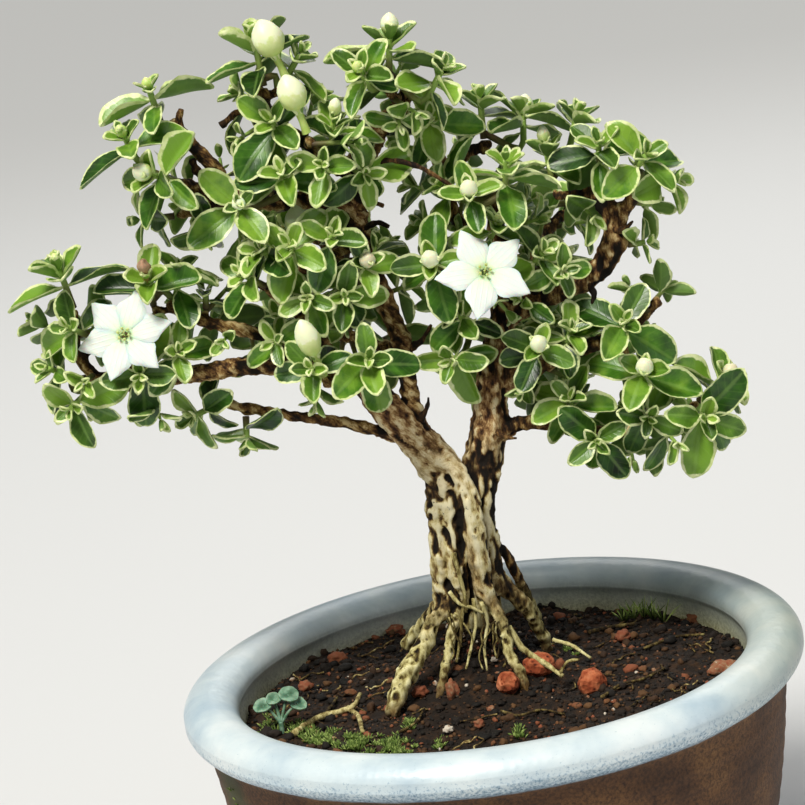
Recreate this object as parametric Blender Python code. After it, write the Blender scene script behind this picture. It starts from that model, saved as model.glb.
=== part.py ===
"""A small flowering bonsai in a round glazed pot, built at its real size.

The tree is laid out on a sketch sheet: an upright square, 115 mm on a side, seen from the front and a
little above. u runs across the sheet from its left edge, v down from its top edge, and y is how far a
point lies behind the pot's axis, all in millimetres. at() turns those three into a place in the world.

World axes: X to the right, Y away from the viewer, Z up. The origin is the middle of the pot's foot.
"""

import math
import random

import bmesh
import bpy
from mathutils import Matrix, Vector, noise
from mathutils.bvhtree import BVHTree

MM = 0.001
SLIVER = 0.002
FLAT_ENOUGH = math.radians(1.0)

# Pot, in millimetres
POT_RADIUS = 44.5
POT_HEIGHT = 50.0
RIM_HALF_WIDTH = 4.0
RIM_HALF_HEIGHT = 3.1
RIM_LEVEL = POT_HEIGHT - RIM_HALF_HEIGHT
BODY_RADIUS = 41.6
FOOT_RADIUS = 28.5
WALL_INSIDE = 36.8
FLOOR_THICKNESS = 6.5
POT_SIDES = 32
DRAIN_RADIUS = 2.6
DRAIN_CIRCLE = 13.0
DRAIN_COUNT = 3

# Soil
CLEARANCE = 0.3
SOIL_LEVEL = RIM_LEVEL - 3.0
MOUND_HEIGHT = 5.5
MOUND_SPREAD = 10.0
MOUND_CENTRE = Vector((-2.0, 5.0))
SOIL_SIDES = 26
SOIL_RINGS = (5.8, 11.8, 18.0, 24.2, 30.2)
SOIL_WALL = ((32.4, 18.4), (25.6, FLOOR_THICKNESS + 2.3), (19.9, FLOOR_THICKNESS + 0.3))
CLOD_SIZE = 7.0
CLOD_HEIGHT = 1.1

# Sketch sheet: how the viewer sees the tree
SHEET = 115.0
EYE_DISTANCE = 450.0
EYE_ELEVATION = math.radians(13.8)
EYE_ROLL = math.radians(8.65)
RIM_ON_SHEET = (70.3, 95.7)

# Leaves
BLADE_THICKNESS = 0.64
BLADE_STATIONS = ((0.0, 0.14), (0.42, 1.0), (0.78, 0.80), (1.0, 0.0))
SMALL_STATIONS = ((0.0, 0.16), (0.46, 1.0), (0.94, 0.42))
SMALL_LEAF = 6.9
PETAL_STATIONS = ((0.0, 0.30), (0.45, 0.80), (0.62, 1.0), (1.0, 0.0))
LEAF_WIDTH_SHARE = 0.47
PAIR_STEP = 0.95
PAIR_OPENING = (88, 66, 46, 30)
LEAF_DROOP = 0.16
LEAF_STALK = 0.09
LEAF_CLEARANCE = 0.36
SHORTENINGS = (1.0, 0.82, 0.66)
NARROWEST_LEAF = 1.7
SHOOT_RADIUS = 0.55
STEM_DROPS = (3.2, 2.4, 1.7, 1.1, 0.7)
TWIG_RADIUS = 0.75
TWIG_BACKS = (3.0, 6.0, 1.5, 10.0)
TWIG_KNEES = (1.2, 2.2)
TWIG_BOW = 1.5
FORK_RISES = (0.9, 1.6, 2.3, 0.4)
FORK_SPACING = 0.37
STEM_BOW = 1.2
STRAIGHT_ENOUGH = math.radians(32)
PAIRS_MODELLED = 2

SKY = Vector((0.0, math.sin(EYE_ELEVATION), math.cos(EYE_ELEVATION)))
SHEET_RIGHT = Vector((math.cos(EYE_ROLL), 0, 0)) - SKY * math.sin(EYE_ROLL)
SHEET_UP = Vector((math.sin(EYE_ROLL), 0, 0)) + SKY * math.cos(EYE_ROLL)
TO_EYE = Vector((0.0, -math.cos(EYE_ELEVATION), math.sin(EYE_ELEVATION)))
EYE = (
    Vector((0.0, 0.0, RIM_LEVEL))
    - SHEET_RIGHT * (RIM_ON_SHEET[0] - SHEET / 2)
    - SHEET_UP * (SHEET / 2 - RIM_ON_SHEET[1])
    + TO_EYE * EYE_DISTANCE
)

# Limbs: points (u, v, y, radius) along each
LIMBS = {
    "core": ((68.2, 96, 5, 3.8), (67.8, 90, 4.8, 3.6), (66.9, 84, 4.2, 3.1), (66.0, 78, 3.8, 2.9),
             (65.8, 73, 3.6, 3.2), (65.9, 69.5, 3.6, 3.5)),
    "strand_left": ((63.4, 86.5, 3.6, 1.4), (63.2, 82.5, 2.4, 1.5), (62.9, 78, 1.9, 1.45),
                    (62.3, 73, 2.2, 1.5), (62.3, 69, 2.6, 1.9), (61.0, 65.2, 3.0, 1.9)),
    "strand_middle": ((66.0, 87, 1.8, 1.2), (65.5, 82, 1.0, 1.35), (65.0, 77, 0.9, 1.4),
                      (64.3, 72, 0.9, 1.5), (63.0, 67.6, 1.6, 1.6)),
    "strand_front": ((69.5, 85, 0.6, 1.35), (68.6, 80.5, 0.2, 1.55), (67.8, 76, -0.1, 1.7),
                     (66.8, 71, 0.2, 1.7), (65.0, 67.4, 1.3, 1.7), (62.3, 64.6, 1.9, 1.5)),
    "strand_right": ((71.2, 84.5, 4.0, 1.4), (70.2, 80, 3.6, 1.6), (69.2, 75, 3.4, 1.7),
                     (69.1, 70, 3.4, 2.0), (69.2, 65, 3.2, 2.2), (69.6, 61, 3.2, 2.1)),
    "strand_back": ((69.8, 87, 8.0, 1.9), (68.5, 80, 7.0, 2.1), (67.4, 74, 6.6, 2.2),
                    (67.9, 69, 6.2, 2.3), (69.2, 63, 5.6, 2.0)),
    "strand_back_left": ((64.4, 88, 7.4, 1.7), (64.2, 80, 6.4, 1.9), (64.0, 74, 5.8, 2.0),
                         (63.4, 69, 5.4, 2.2), (61.2, 65, 4.8, 2.1)),
    "left_limb": ((65.6, 70.5, 3.6, 3.0), (62.2, 65.7, 3.2, 2.9), (58.6, 61.7, 2.8, 2.6),
                  (55.0, 58.0, 2.2, 2.3), (52.0, 54.6, 1.4, 2.0), (47.5, 52.3, 0.6, 1.7),
                  (40.5, 52.0, 0.0, 1.45), (32.5, 52.6, -0.5, 1.3), (24.5, 53.9, -1.0, 1.15),
                  (17.5, 54.8, -1.4, 1.0), (13.0, 53.4, -1.8, 0.85), (10.8, 50.0, -1.8, 0.75),
                  (10.6, 45.5, -1.6, 0.65)),
    "left_upper": ((46.0, 52.2, 0.4, 1.3), (40.5, 48.9, 0.6, 1.1), (35.5, 47.3, 0.3, 1.05),
                   (30.0, 46.2, -0.2, 1.0), (26.2, 44.9, -0.6, 0.85), (24.0, 43.4, -1.0, 0.7)),
    "left_front": ((48.0, 52.5, 0.4, 1.3), (45.8, 48.5, -1.0, 1.1), (43.0, 44.8, -2.0, 1.0),
                   (40.0, 42.4, -2.6, 0.85), (38.3, 41.2, -2.8, 0.7)),
    "left_low": ((58.4, 62.8, 3.0, 1.4), (54.0, 61.5, 3.2, 1.0), (49.0, 60.3, 3.2, 0.85),
                 (43.0, 59.6, 3.2, 0.8), (37.5, 58.7, 3.0, 0.8), (32.3, 57.8, 2.6, 0.7)),
    "leader": ((59.6, 63.0, 3.0, 1.9), (58.8, 57.5, 3.6, 1.4), (58.1, 53, 4.2, 1.3),
               (57.2, 48, 5.2, 1.4), (55.2, 43.5, 6.0, 1.5), (52.8, 38, 6.4, 1.5),
               (51.0, 32, 6.4, 1.7), (50.3, 28, 6.2, 1.9), (51.5, 23, 6.0, 1.8),
               (54.2, 18.5, 5.6, 1.6), (57.3, 15, 5.0, 1.2), (58.6, 12.8, 4.2, 0.9)),
    "left_high": ((50.4, 28.8, 6.2, 1.6), (44.0, 28.7, 5.0, 1.3), (37.0, 28.7, 3.6, 1.3),
                  (31.4, 28.4, 2.2, 1.45), (28.2, 27.4, 0.9, 1.35), (26.0, 26.6, -0.8, 0.95)),
    "left_tip": ((32.6, 28.2, 2.4, 1.25), (31.0, 24.4, 1.9, 1.15), (27.6, 20.8, 1.5, 1.0),
                 (24.6, 17.4, 1.1, 0.8)),
    "left_stub": ((31.0, 29.0, 2.2, 1.1), (27.8, 30.2, 1.8, 0.8), (25.8, 30.5, 1.4, 0.6)),
    "top_left": ((51.2, 25.2, 6.0, 1.4), (46.0, 21.8, 5.4, 1.2), (41.2, 18.8, 4.8, 1.1),
                 (38.0, 15.8, 4.0, 1.0), (37.3, 12.6, 3.2, 0.8)),
    "right_limb": ((67.4, 70.5, 4.0, 3.0), (69.3, 65, 4.0, 2.75), (70.0, 60.5, 4.0, 2.6),
                   (70.3, 55.5, 4.2, 2.3), (70.9, 50.5, 4.6, 2.0), (71.6, 46, 5.2, 1.8),
                   (72.0, 41.5, 6.2, 1.6), (71.5, 36, 6.8, 1.4), (70.6, 31, 6.2, 1.15),
                   (70.2, 28.6, 5.4, 0.9)),
    "right_low": ((70.4, 61.8, 4.0, 1.7), (74.5, 60.4, 2.6, 1.05), (79.0, 60.7, 1.4, 0.9),
                  (84.0, 61.5, 0.6, 0.85), (88.5, 61.8, 0.2, 0.8), (94.0, 60.6, -0.2, 0.75),
                  (97.5, 59.6, -0.6, 0.65)),
    "right_middle": ((71.0, 55.0, 4.2, 1.7), (75.0, 53.2, 3.0, 1.3), (79.5, 51.2, 2.2, 1.1),
                     (84.5, 49.2, 1.6, 1.0), (88.5, 48.0, 1.4, 0.85), (91.5, 45.8, 1.2, 0.65),
                     (93.2, 44.0, 1.0, 0.6), (94.3, 42.9, 1.0, 0.85)),
    "right_high": ((71.7, 45.8, 5.2, 1.6), (75.5, 43.4, 5.0, 1.45), (79.5, 41.8, 4.8, 1.4),
                   (83.3, 40.4, 4.4, 1.5), (86.2, 37.7, 4.2, 1.7), (87.8, 34.2, 4.2, 1.8),
                   (87.8, 31.2, 4.2, 1.6), (86.0, 28.6, 4.4, 1.3), (84.8, 26.4, 4.8, 0.9)),
    "right_fork": ((87.8, 31.6, 4.2, 1.4), (90.0, 28.8, 3.6, 1.05), (91.0, 27.2, 3.0, 0.8)),
    "inner_limb": ((71.9, 42.5, 6.0, 1.4), (67.8, 36.5, 9.0, 1.25), (64.8, 30.5, 10.2, 1.2),
                   (63.4, 25.5, 10.2, 1.25), (62.2, 21.4, 9.6, 1.0)),
    "inner_fork": ((63.5, 25.8, 10.2, 1.1), (66.6, 21.8, 11.4, 0.9), (70.0, 20.4, 12.4, 0.75)),
    "rear_left": ((55.0, 43.0, 6.0, 1.4), (50.5, 38.5, 12.0, 1.1), (45.5, 34.0, 18.0, 0.95),
                  (41.0, 31.5, 22.0, 0.8)),
    "rear_right": ((71.8, 44.5, 5.6, 1.4), (74.0, 38.5, 12.0, 1.1), (77.5, 33.5, 18.0, 0.95),
                   (80.5, 30.5, 22.0, 0.8)),
    "rear_low": ((70.5, 56.0, 4.6, 1.7), (73.5, 53.0, 11.0, 1.1), (78.0, 50.5, 17.0, 0.9),
                 (82.0, 49.5, 21.0, 0.75)),
    "rear_low_left": ((57.6, 50.5, 4.8, 1.3), (52.0, 48.5, 11.0, 1.0), (46.0, 47.5, 16.0, 0.85),
                      (41.5, 46.5, 19.0, 0.75)),
}

# Roots: points (u, v, y, radius) from the trunk outwards, the last ones under the soil
ROOTS = {
    "root_left": ((63.6, 83.5, 2.6, 1.6), (64.0, 86.4, 2.0, 1.5), (61.9, 89.0, 1.4, 1.15),
                  (60.4, 92.4, 0.6, 1.35), (58.6, 95.4, -1.0, 1.6), (57.0, 98.4, -2.6, 1.45),
                  (55.9, 102.4, -4.4, 1.15)),
    "root_middle": ((65.4, 87.0, 1.8, 0.9), (64.2, 92.0, 0.4, 0.75), (63.4, 96.2, -1.4, 0.75),
                    (62.6, 101.8, -3.4, 0.65)),
    "root_front": ((69.3, 84.0, 0.6, 1.35), (70.8, 87.0, 0.2, 1.05), (72.2, 90.0, -0.6, 0.95),
                   (72.6, 93.2, -1.8, 0.9), (74.4, 96.0, -3.2, 0.9), (75.6, 100.4, -5.0, 0.75)),
    "root_right": ((71.0, 83.0, 4.0, 1.5), (73.6, 85.2, 4.8, 1.2), (75.8, 87.6, 6.0, 1.1),
                   (77.4, 90.4, 7.6, 0.95), (78.4, 93.2, 8.6, 0.8)),
    "root_arch": ((69.6, 76.6, 4.6, 1.0), (72.2, 79.0, 5.4, 0.85), (73.9, 82.2, 6.6, 0.85),
                  (75.4, 85.4, 9.4, 0.9), (77.0, 88.6, 12.6, 0.8)),
    "root_back": ((68.6, 85.0, 8.0, 1.8), (69.6, 87.6, 13.0, 1.4), (70.4, 89.4, 18.0, 0.95)),
    "root_back_left": ((64.6, 85.0, 6.6, 1.6), (61.0, 88.6, 10.6, 1.2), (57.8, 92.4, 13.0, 0.85)),
}

# Strands of the trunk that also reach into the soil, and the room round whatever does
BURIED_STRANDS = ("core", "strand_back_left", "strand_back")
ROOT_HOLE_GAP = 0.42

# Tufts of leaves on each leafy shoot. A shoot is (limb, tufts); a tuft is
# (u, v, y, (right, up, near) it grows, turn in degrees, leaf lengths of its pairs, bud or None)
SHOOTS = (
    ("left_tip", ((21.8, 14.2, 0.5, (-0.3, 0.9, 0.3), 12, (8.2, 3.6), "green"),)),
    ("left_high", ((23.4, 25.4, -4.5, (-0.7, 0.15, 0.7), 58, (8.0, 6.4, 4.0), "pale"),
                   (18.8, 21.2, -3.0, (-0.4, 0.7, 0.6), 22, (8.4, 6.0, 3.4), "green"))),
    ("left_stub", ((21.6, 31.2, 1.2, (-0.9, -0.1, 0.2), 20, (6.0, 4.0), None),)),
    ("left_high", ((34.2, 29.8, -2.5, (0.0, 0.2, 0.95), 31, (8.6, 7.0, 3.0), "star"),
                   (40.5, 25.8, -2.5, (-0.1, 0.4, 0.9), 14, (7.2, 5.6, 4.0), None))),
    ("top_left", ((37.0, 9.0, 0.5, (-0.2, 1.0, 0.3), 14, (8.0, 7.4, 6.0, 4.0), None),
                  (41.6, 9.8, 1.5, (0.5, 0.8, 0.3), -28, (7.0, 5.4, 3.4), None))),
    ("top_left", ((35.6, 14.2, 4.6, (-0.7, 0.4, 0.1), 8, (7.6, 5.2), None),)),
    ("top_left", ((39.4, 18.4, -1.0, (-0.2, 0.35, 0.9), 50, (8.6, 6.0, 4.0), None),)),
    ("leader", ((47.4, 19.8, -1.5, (0.1, 0.8, 0.6), 10, (7.2, 5.6, 3.2), "tall"),
                (46.4, 24.0, -3.5, (-0.1, 0.1, 1.0), 78, (5.6, 5.0, 3.0), None),
                (51.6, 24.6, -1.0, (0.3, -0.2, 0.9), 8, (8.0, 5.4), None))),
    ("leader", ((55.6, 8.4, 1.0, (0.0, 1.0, 0.35), 10, (8.6, 6.4, 5.0, 3.4), "pale"),
                (52.2, 11.2, -2.0, (-0.3, 0.4, 0.85), 60, (6.0, 5.2, 3.4), "green"),
                (61.8, 12.0, 1.5, (0.5, 0.7, 0.5), 32, (7.2, 6.2, 4.0), None))),
    ("inner_limb", ((61.4, 17.8, 8.0, (0.0, 0.3, 0.9), 8, (7.6, 6.2, 4.0), None),)),
    ("inner_fork", ((68.8, 16.6, 11.5, (-0.1, 1.0, 0.2), 22, (7.2, 6.2, 4.0), None),
                    (74.6, 18.0, 12.5, (0.1, 1.0, 0.1), 50, (7.4, 6.0), "pale"))),
    ("right_high", ((78.4, 23.4, 6.5, (-0.2, 1.0, 0.2), 4, (7.0, 5.4), "tall"),
                    (81.8, 18.8, 9.0, (0.2, 0.9, 0.2), 28, (9.0, 6.4, 4.0), None))),
    ("right_high", ((85.6, 22.2, 2.5, (-0.1, 0.6, 0.8), 18, (7.6, 6.0, 4.0), None),)),
    ("right_fork", ((91.2, 23.6, 0.5, (0.35, 0.5, 0.8), 45, (8.2, 6.6, 4.0), None),
                    (94.6, 25.8, 3.5, (0.8, 0.1, 0.4), 14, (7.0, 5.4), None))),
    ("right_limb", ((72.2, 25.4, 1.0, (0.0, 0.9, 0.4), -4, (8.2, 6.2, 3.4), None),
                    (67.2, 28.4, -1.0, (-0.1, 0.4, 0.9), 96, (5.8, 4.6), "pale"),
                    (64.4, 27.2, 4.5, (-0.7, 0.4, 0.4), 40, (8.0, 5.4), None))),
    ("right_limb", ((62.2, 38.0, -1.5, (-0.2, 0.2, 0.95), 95, (7.8, 5.8, 3.6), "pale"),)),
    ("right_limb", ((70.4, 33.2, 2.5, (0.3, 0.7, 0.6), 2, (6.4, 4.8), "green"),)),
    ("right_high", ((76.4, 37.4, 1.5, (0.4, 0.5, 0.8), 40, (8.2, 5.4, 3.4), None),
                    (79.6, 38.6, 1.0, (0.4, -0.1, 0.9), 10, (5.2, 4.2), None))),
    ("right_high", ((90.8, 34.8, 3.5, (0.95, 0.1, 0.3), 0, (4.6, 3.6), None),)),
    ("leader", ((42.0, 36.0, -4.5, (-0.2, 0.3, 0.9), 60, (7.2, 6.0, 4.0), None),
                (47.0, 34.8, -3.5, (0.2, 0.4, 0.9), 76, (7.0, 5.4, 3.2), None),
                (38.2, 36.2, -3.5, (-0.6, 0.2, 0.8), 160, (6.6, 5.0), None))),
    ("leader", ((51.8, 38.6, -2.5, (0.2, 0.4, 0.9), 16, (6.2, 5.2, 3.2), "spent"),
                (49.0, 42.2, -3.5, (0.1, -0.1, 1.0), 5, (6.0, 5.2, 3.0), None))),
    ("left_front", ((36.2, 40.0, -4.0, (-0.6, 0.3, 0.7), 42, (6.8, 5.2, 3.0), None),)),
    ("left_front", ((44.4, 42.6, -4.6, (-0.2, 0.0, 1.0), 100, (5.4, 4.4), None),)),
    ("left_limb", ((45.0, 53.0, -6.5, (-0.2, 0.1, 0.95), 4, (5.8, 5.0, 3.4), None),)),
    ("left_limb", ((52.4, 52.0, -6.5, (0.1, 0.2, 0.97), 6, (8.0, 5.8, 4.0), None),)),
    ("left_upper", ((39.8, 48.9, -3.0, (-0.3, 0.0, 0.9), 28, (5.4, 3.8), None),)),
    ("left_upper", ((21.4, 41.4, -2.5, (-0.1, 0.6, 0.75), 2, (7.6, 6.0, 4.0), "withered"),
                    (25.4, 40.4, -0.5, (0.2, 0.8, 0.4), 54, (8.2, 5.4), None))),
    ("left_upper", ((29.4, 43.0, 0.8, (0.0, 0.95, 0.2), 0, (5.2, 4.0), None),)),
    ("left_limb", ((20.2, 53.2, -5.0, (0.0, -0.2, 0.97), 90, (8.4, 5.8, 3.0), None),)),
    ("left_limb", ((25.0, 50.9, -3.5, (0.3, 0.3, 0.9), 20, (6.4, 5.0), None),)),
    ("left_limb", ((11.2, 47.4, -4.6, (-0.5, 0.2, 0.85), 6, (8.2, 5.4, 3.2), None),)),
    ("left_limb", ((9.4, 41.0, -2.0, (-0.3, 0.9, 0.35), 16, (8.6, 7.0, 5.0, 3.0), "green"),)),
    ("left_limb", ((8.6, 53.2, -2.0, (-0.6, 0.2, 0.75), 62, (5.6, 4.4, 3.0), None),
                   (11.0, 57.4, -3.5, (-0.3, -0.4, 0.85), 34, (8.0, 6.0, 3.2), None))),
    ("left_low", ((29.0, 58.8, 1.0, (-0.6, -0.3, 0.6), 48, (6.2, 5.2), None),)),
    ("left_low", ((35.2, 61.2, 2.4, (0.05, -1.0, 0.2), 60, (8.4, 5.0), None),)),
    ("right_limb", ((66.4, 45.6, 0.5, (-0.5, 0.2, 0.9), 40, (6.6, 5.0, 3.0), None),
                    (65.2, 51.0, 0.5, (-0.4, -0.3, 0.85), 100, (7.2, 5.8), None))),
    ("right_middle", ((76.8, 50.4, -2.5, (0.0, 0.3, 0.95), 62, (6.6, 5.6, 4.0), "pale"),
                      (81.0, 48.4, 0.0, (0.3, 0.6, 0.7), 6, (6.8, 5.0), None))),
    ("right_middle", ((88.9, 46.9, -1.0, (0.05, 0.35, 0.9), 145, (8.8, 7.2, 3.6), None),)),
    ("right_middle", ((91.8, 53.6, -2.0, (0.0, 0.3, 0.95), 168, (8.2, 6.6, 4.6), "pale"),)),
    ("right_low", ((102.0, 55.2, 0.8, (0.6, 0.6, 0.4), 20, (7.0, 5.6, 3.4), "spent"),)),
    ("right_low", ((100.0, 59.4, -3.0, (0.2, -0.1, 0.95), 90, (9.2, 6.4, 4.0), None),)),
    ("right_low", ((92.4, 59.4, -2.5, (0.0, -0.2, 0.97), 68, (6.4, 5.0), None),)),
    ("right_low", ((85.2, 62.6, -2.0, (-0.1, -0.2, 0.95), 135, (7.6, 5.2, 3.0), None),
                   (81.6, 58.0, -1.0, (-0.2, 0.5, 0.8), 140, (6.8, 6.0), None))),
    ("rear_left", ((40.0, 29.8, 24.5, (-0.4, 0.5, -0.8), 20, (7.4, 6.0, 4.0), "pale"),
                   (46.5, 31.0, 21.0, (0.2, 0.7, -0.7), 70, (7.0, 5.6), None))),
    ("rear_right", ((81.5, 29.0, 24.5, (0.3, 0.5, -0.8), 10, (7.6, 6.2, 4.0), "pale"),
                    (75.5, 30.2, 21.0, (-0.3, 0.6, -0.8), 60, (7.0, 5.6), None))),
    ("rear_low", ((83.5, 48.6, 23.5, (0.5, 0.4, -0.8), 30, (7.6, 6.0, 4.0), "green"),)),
    ("rear_low_left", ((39.8, 45.8, 21.5, (-0.5, 0.4, -0.8), 10, (7.6, 6.0, 4.0), "green"),)),
)

# Buds on twigs of their own: (limb, (u, v, y) of the middle, (right, up, near) it faces, length, width)
BIG_BUDS = (
    ("top_left", (38.2, 5.4, -2.0), (-0.4, 0.85, 0.3), 5.4, 4.3),
    ("top_left", (41.6, 13.2, -4.6), (-0.35, 0.9, 0.3), 5.2, 3.9),
    ("leader", (42.4, 31.6, 0.8), (-0.1, 0.95, 0.3), 4.6, 3.5),
    ("left_limb", (43.9, 48.2, -9.0), (-0.35, 0.85, 0.4), 5.6, 3.3),
)
# Open flowers: (limb, (u, v, y) of the mouth, (right, up, near) it faces, radius, number of lobes, turn)
BLOOMS = (
    ("left_limb", (17.8, 47.9, -6.5), (-0.12, 0.22, 0.96), 6.6, 6, 75),
    ("right_limb", (69.2, 38.9, -5.5), (0.05, 0.35, 0.93), 6.9, 5, 118),
)
# Length, width and neck of each kind of bud or spent flower at a tuft's tip
SMALL_BUDS = {
    "green": (2.0, 1.7, 0.5),
    "pale": (3.0, 2.5, 0.8),
    "tall": (2.6, 1.8, 2.2),
    "star": (1.3, 1.9, 0.4),
    "spent": (2.4, 2.2, 0.5),
    "withered": (2.6, 1.7, 2.0),
}
BUD_NECK = 3.4
BUD_NECK_RADIUS = 0.46
BLOOM_TUBE = 4.6
# Rows of (share of the tube, radius) down a bloom's funnel
FUNNEL = ((0.0, 0.5), (0.55, 0.62), (0.9, 1.15), (1.05, 1.3))
LOBE_WIDTH_SHARE = 0.66
LOBE_RISE = 0.14
LOBE_START = 0.5

# Red pumice pebbles on the soil: (u, v, half sizes, seed)
PEBBLE_BEDDING = 0.35
PEBBLE_LUMPS = 0.14
PEBBLES = (
    (76.9, 95.0, (2.5, 1.9, 1.7), 3),
    (72.6, 97.6, (1.6, 1.5, 1.7), 5),
    (84.6, 97.6, (2.0, 1.8, 2.2), 8),
)

# Self-sown seedling by the front of the rim: (u, v) of its foot, then leaflets as (right, up, radius)
SEEDLING_FOOT = (40.3, 104.2)
SEEDLING_STEM = 0.4
SEEDLING_STALK = 0.34
LEAFLET_HALF_THICKNESS = 0.32
SEEDLING_LEAFLETS = ((-2.6, 2.2, 1.3), (-1.0, 3.2, 1.1), (1.1, 3.8, 1.4), (2.5, 2.5, 1.2))

MATERIALS = {
    "leaf": ((0.13, 0.30, 0.06), 0.42, 0.0),
    "bark": ((0.24, 0.15, 0.09), 0.85, 0.0),
    "petal": ((0.93, 0.94, 0.95), 0.5, 0.0),
    "bud": ((0.82, 0.86, 0.58), 0.5, 0.0),
    "glaze": ((0.70, 0.79, 0.88), 0.25, 0.0),
    "soil": ((0.07, 0.04, 0.03), 0.95, 0.0),
    "pebble": ((0.55, 0.16, 0.06), 0.9, 0.0),
    "seedling": ((0.30, 0.55, 0.28), 0.5, 0.0),
}


def at(u, v, y):
    """The world place of a point seen at (u, v) on the sheet and lying y behind the pot's axis."""
    ray = (SHEET_RIGHT * (u - SHEET / 2) + SHEET_UP * (SHEET / 2 - v)) / EYE_DISTANCE - TO_EYE
    return EYE + ray * ((y - EYE.y) / ray.y)


def heading(right, up, near):
    """A unit direction given across the sheet, up it, and towards the viewer."""
    return (SHEET_RIGHT * right + SHEET_UP * up + TO_EYE * near).normalized()


def soil_height(x, y):
    """Level of the soil's surface: a mound round the trunk, with clods raised on it."""
    away = (Vector((x, y)) - MOUND_CENTRE).length / MOUND_SPREAD
    clods = noise.noise(Vector((x / CLOD_SIZE, y / CLOD_SIZE, 1.7)))
    return SOIL_LEVEL + MOUND_HEIGHT * math.exp(-away * away) + CLOD_HEIGHT * clods


def on_soil(u, v, rise):
    """The place seen at (u, v) on the sheet that lies rise above the soil, found by halving."""
    near, far = -40.0, 40.0
    for _ in range(40):
        y = (near + far) / 2
        point = at(u, v, y)
        if point.z > soil_height(point.x, point.y) + rise:
            near = y
        else:
            far = y
    return at(u, v, (near + far) / 2)


def material(name):
    """The Principled material of that name."""
    found = bpy.data.materials.get(name)
    if found:
        return found
    colour, roughness, metallic = MATERIALS[name]
    made = bpy.data.materials.new(name)
    made.use_nodes = True
    made.diffuse_color = (*colour, 1)
    shader = made.node_tree.nodes["Principled BSDF"]
    shader.inputs["Base Color"].default_value = (*colour, 1)
    shader.inputs["Roughness"].default_value = roughness
    shader.inputs["Metallic"].default_value = metallic
    return made


def solid(name, points, faces, skin):
    """An object from points in millimetres, with its faces turned outwards."""
    mesh = bpy.data.meshes.new(name)
    mesh.from_pydata([Vector(p) * MM for p in points], [], faces)
    shape = bmesh.new()
    shape.from_mesh(mesh)
    bmesh.ops.recalc_face_normals(shape, faces=shape.faces)
    shape.to_mesh(mesh)
    shape.free()
    made = bpy.data.objects.new(name, mesh)
    made.data.materials.append(material(skin))
    bpy.context.scene.collection.objects.link(made)
    return made


def merged(base, others, operation, solver):
    """base with the others joined to it or cut from it by one Boolean, which is then applied."""
    group = bpy.data.collections.new("operands")
    bpy.context.scene.collection.children.link(group)
    for other in others:
        bpy.context.scene.collection.objects.unlink(other)
        group.objects.link(other)
    change = base.modifiers.new("join", "BOOLEAN")
    change.operation = operation
    change.operand_type = "COLLECTION"
    change.collection = group
    change.solver = solver
    bpy.context.view_layer.update()
    graph = bpy.context.evaluated_depsgraph_get()
    result = bpy.data.meshes.new_from_object(base.evaluated_get(graph))
    shape = bmesh.new()
    shape.from_mesh(result)
    bmesh.ops.remove_doubles(shape, verts=shape.verts, dist=SLIVER * MM)
    bmesh.ops.dissolve_degenerate(shape, edges=shape.edges, dist=SLIVER * MM)
    bmesh.ops.dissolve_limit(shape, angle_limit=FLAT_ENOUGH, verts=shape.verts, edges=shape.edges)
    bmesh.ops.triangulate(shape, faces=shape.faces)
    shape.to_mesh(result)
    shape.free()
    base.modifiers.clear()
    base.data = result
    for other in list(group.objects):
        bpy.data.objects.remove(other)
    bpy.data.collections.remove(group)
    return base


def smooth_shaded(made, angle=35):
    """Shades a round piece smooth, with edges sharper than the angle kept."""
    made.data.shade_smooth()
    made.data.set_sharp_from_angle(angle=math.radians(angle))
    return made


def tube_shape(points, radii, sides, side=None):
    """Points and faces of a closed tube swept through the points, with its frame carried along."""
    rings = []
    for i, point in enumerate(points):
        ahead = points[min(i + 1, len(points) - 1)] - points[max(i - 1, 0)]
        ahead.normalize()
        if side is None:
            side = ahead.orthogonal().normalized()
        side = (side - ahead * side.dot(ahead)).normalized()
        across = ahead.cross(side)
        for k in range(sides):
            angle = math.tau * k / sides
            rings.append(point + (side * math.cos(angle) + across * math.sin(angle)) * radii[i])
    faces = [tuple(range(sides))[::-1]]
    for i in range(len(points) - 1):
        for k in range(sides):
            a = i * sides + k
            b = i * sides + (k + 1) % sides
            faces.append((a, b, b + sides, a + sides))
    last = (len(points) - 1) * sides
    faces.append(tuple(range(last, last + sides)))
    return rings, faces


def blade_shape(root, along, upper, length, width, thickness, stations, droop, start=0.0):
    """Points and faces of one thin blade: a drooping outline, split alike on both faces."""
    along = along.normalized()
    upper = (upper - along * upper.dot(along)).normalized()
    side = along.cross(upper)
    lift = upper * (thickness / 2)
    points = []
    rows = []
    for share, breadth in stations:
        share = max(share, start)
        middle = root + along * (length * share) - upper * (length * droop * share * share)
        half = width / 2 * breadth
        row = (middle - side * half, middle + side * half) if breadth else (middle,)
        rows.append((len(points), len(row)))
        for point in row:
            points += [point + lift, point - lift]
    faces = []
    for (a, na), (b, nb) in zip(rows, rows[1:]):
        cells = ((a, b, b + 2), (a, b + 2, a + 2)) if nb == 2 else ((a, b, a + 2),)
        for p, q, r in cells:
            faces += [(p, q, r), (r + 1, q + 1, p + 1)]
        last_a, last_b = a + 2 * (na - 1), b + 2 * (nb - 1)
        faces += [(a, a + 1, b + 1), (a, b + 1, b)]
        faces += [(last_a, last_b, last_b + 1), (last_a, last_b + 1, last_a + 1)]
    faces += [(0, 2, 3), (0, 3, 1)]
    if rows[-1][1] == 2:
        faces += [(b, b + 1, b + 3), (b, b + 3, b + 2)]
    return points, faces


def tree_of(points, faces):
    """A search tree for testing what a shape runs into."""
    return BVHTree.FromPolygons([tuple(p) for p in points], faces)


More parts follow.
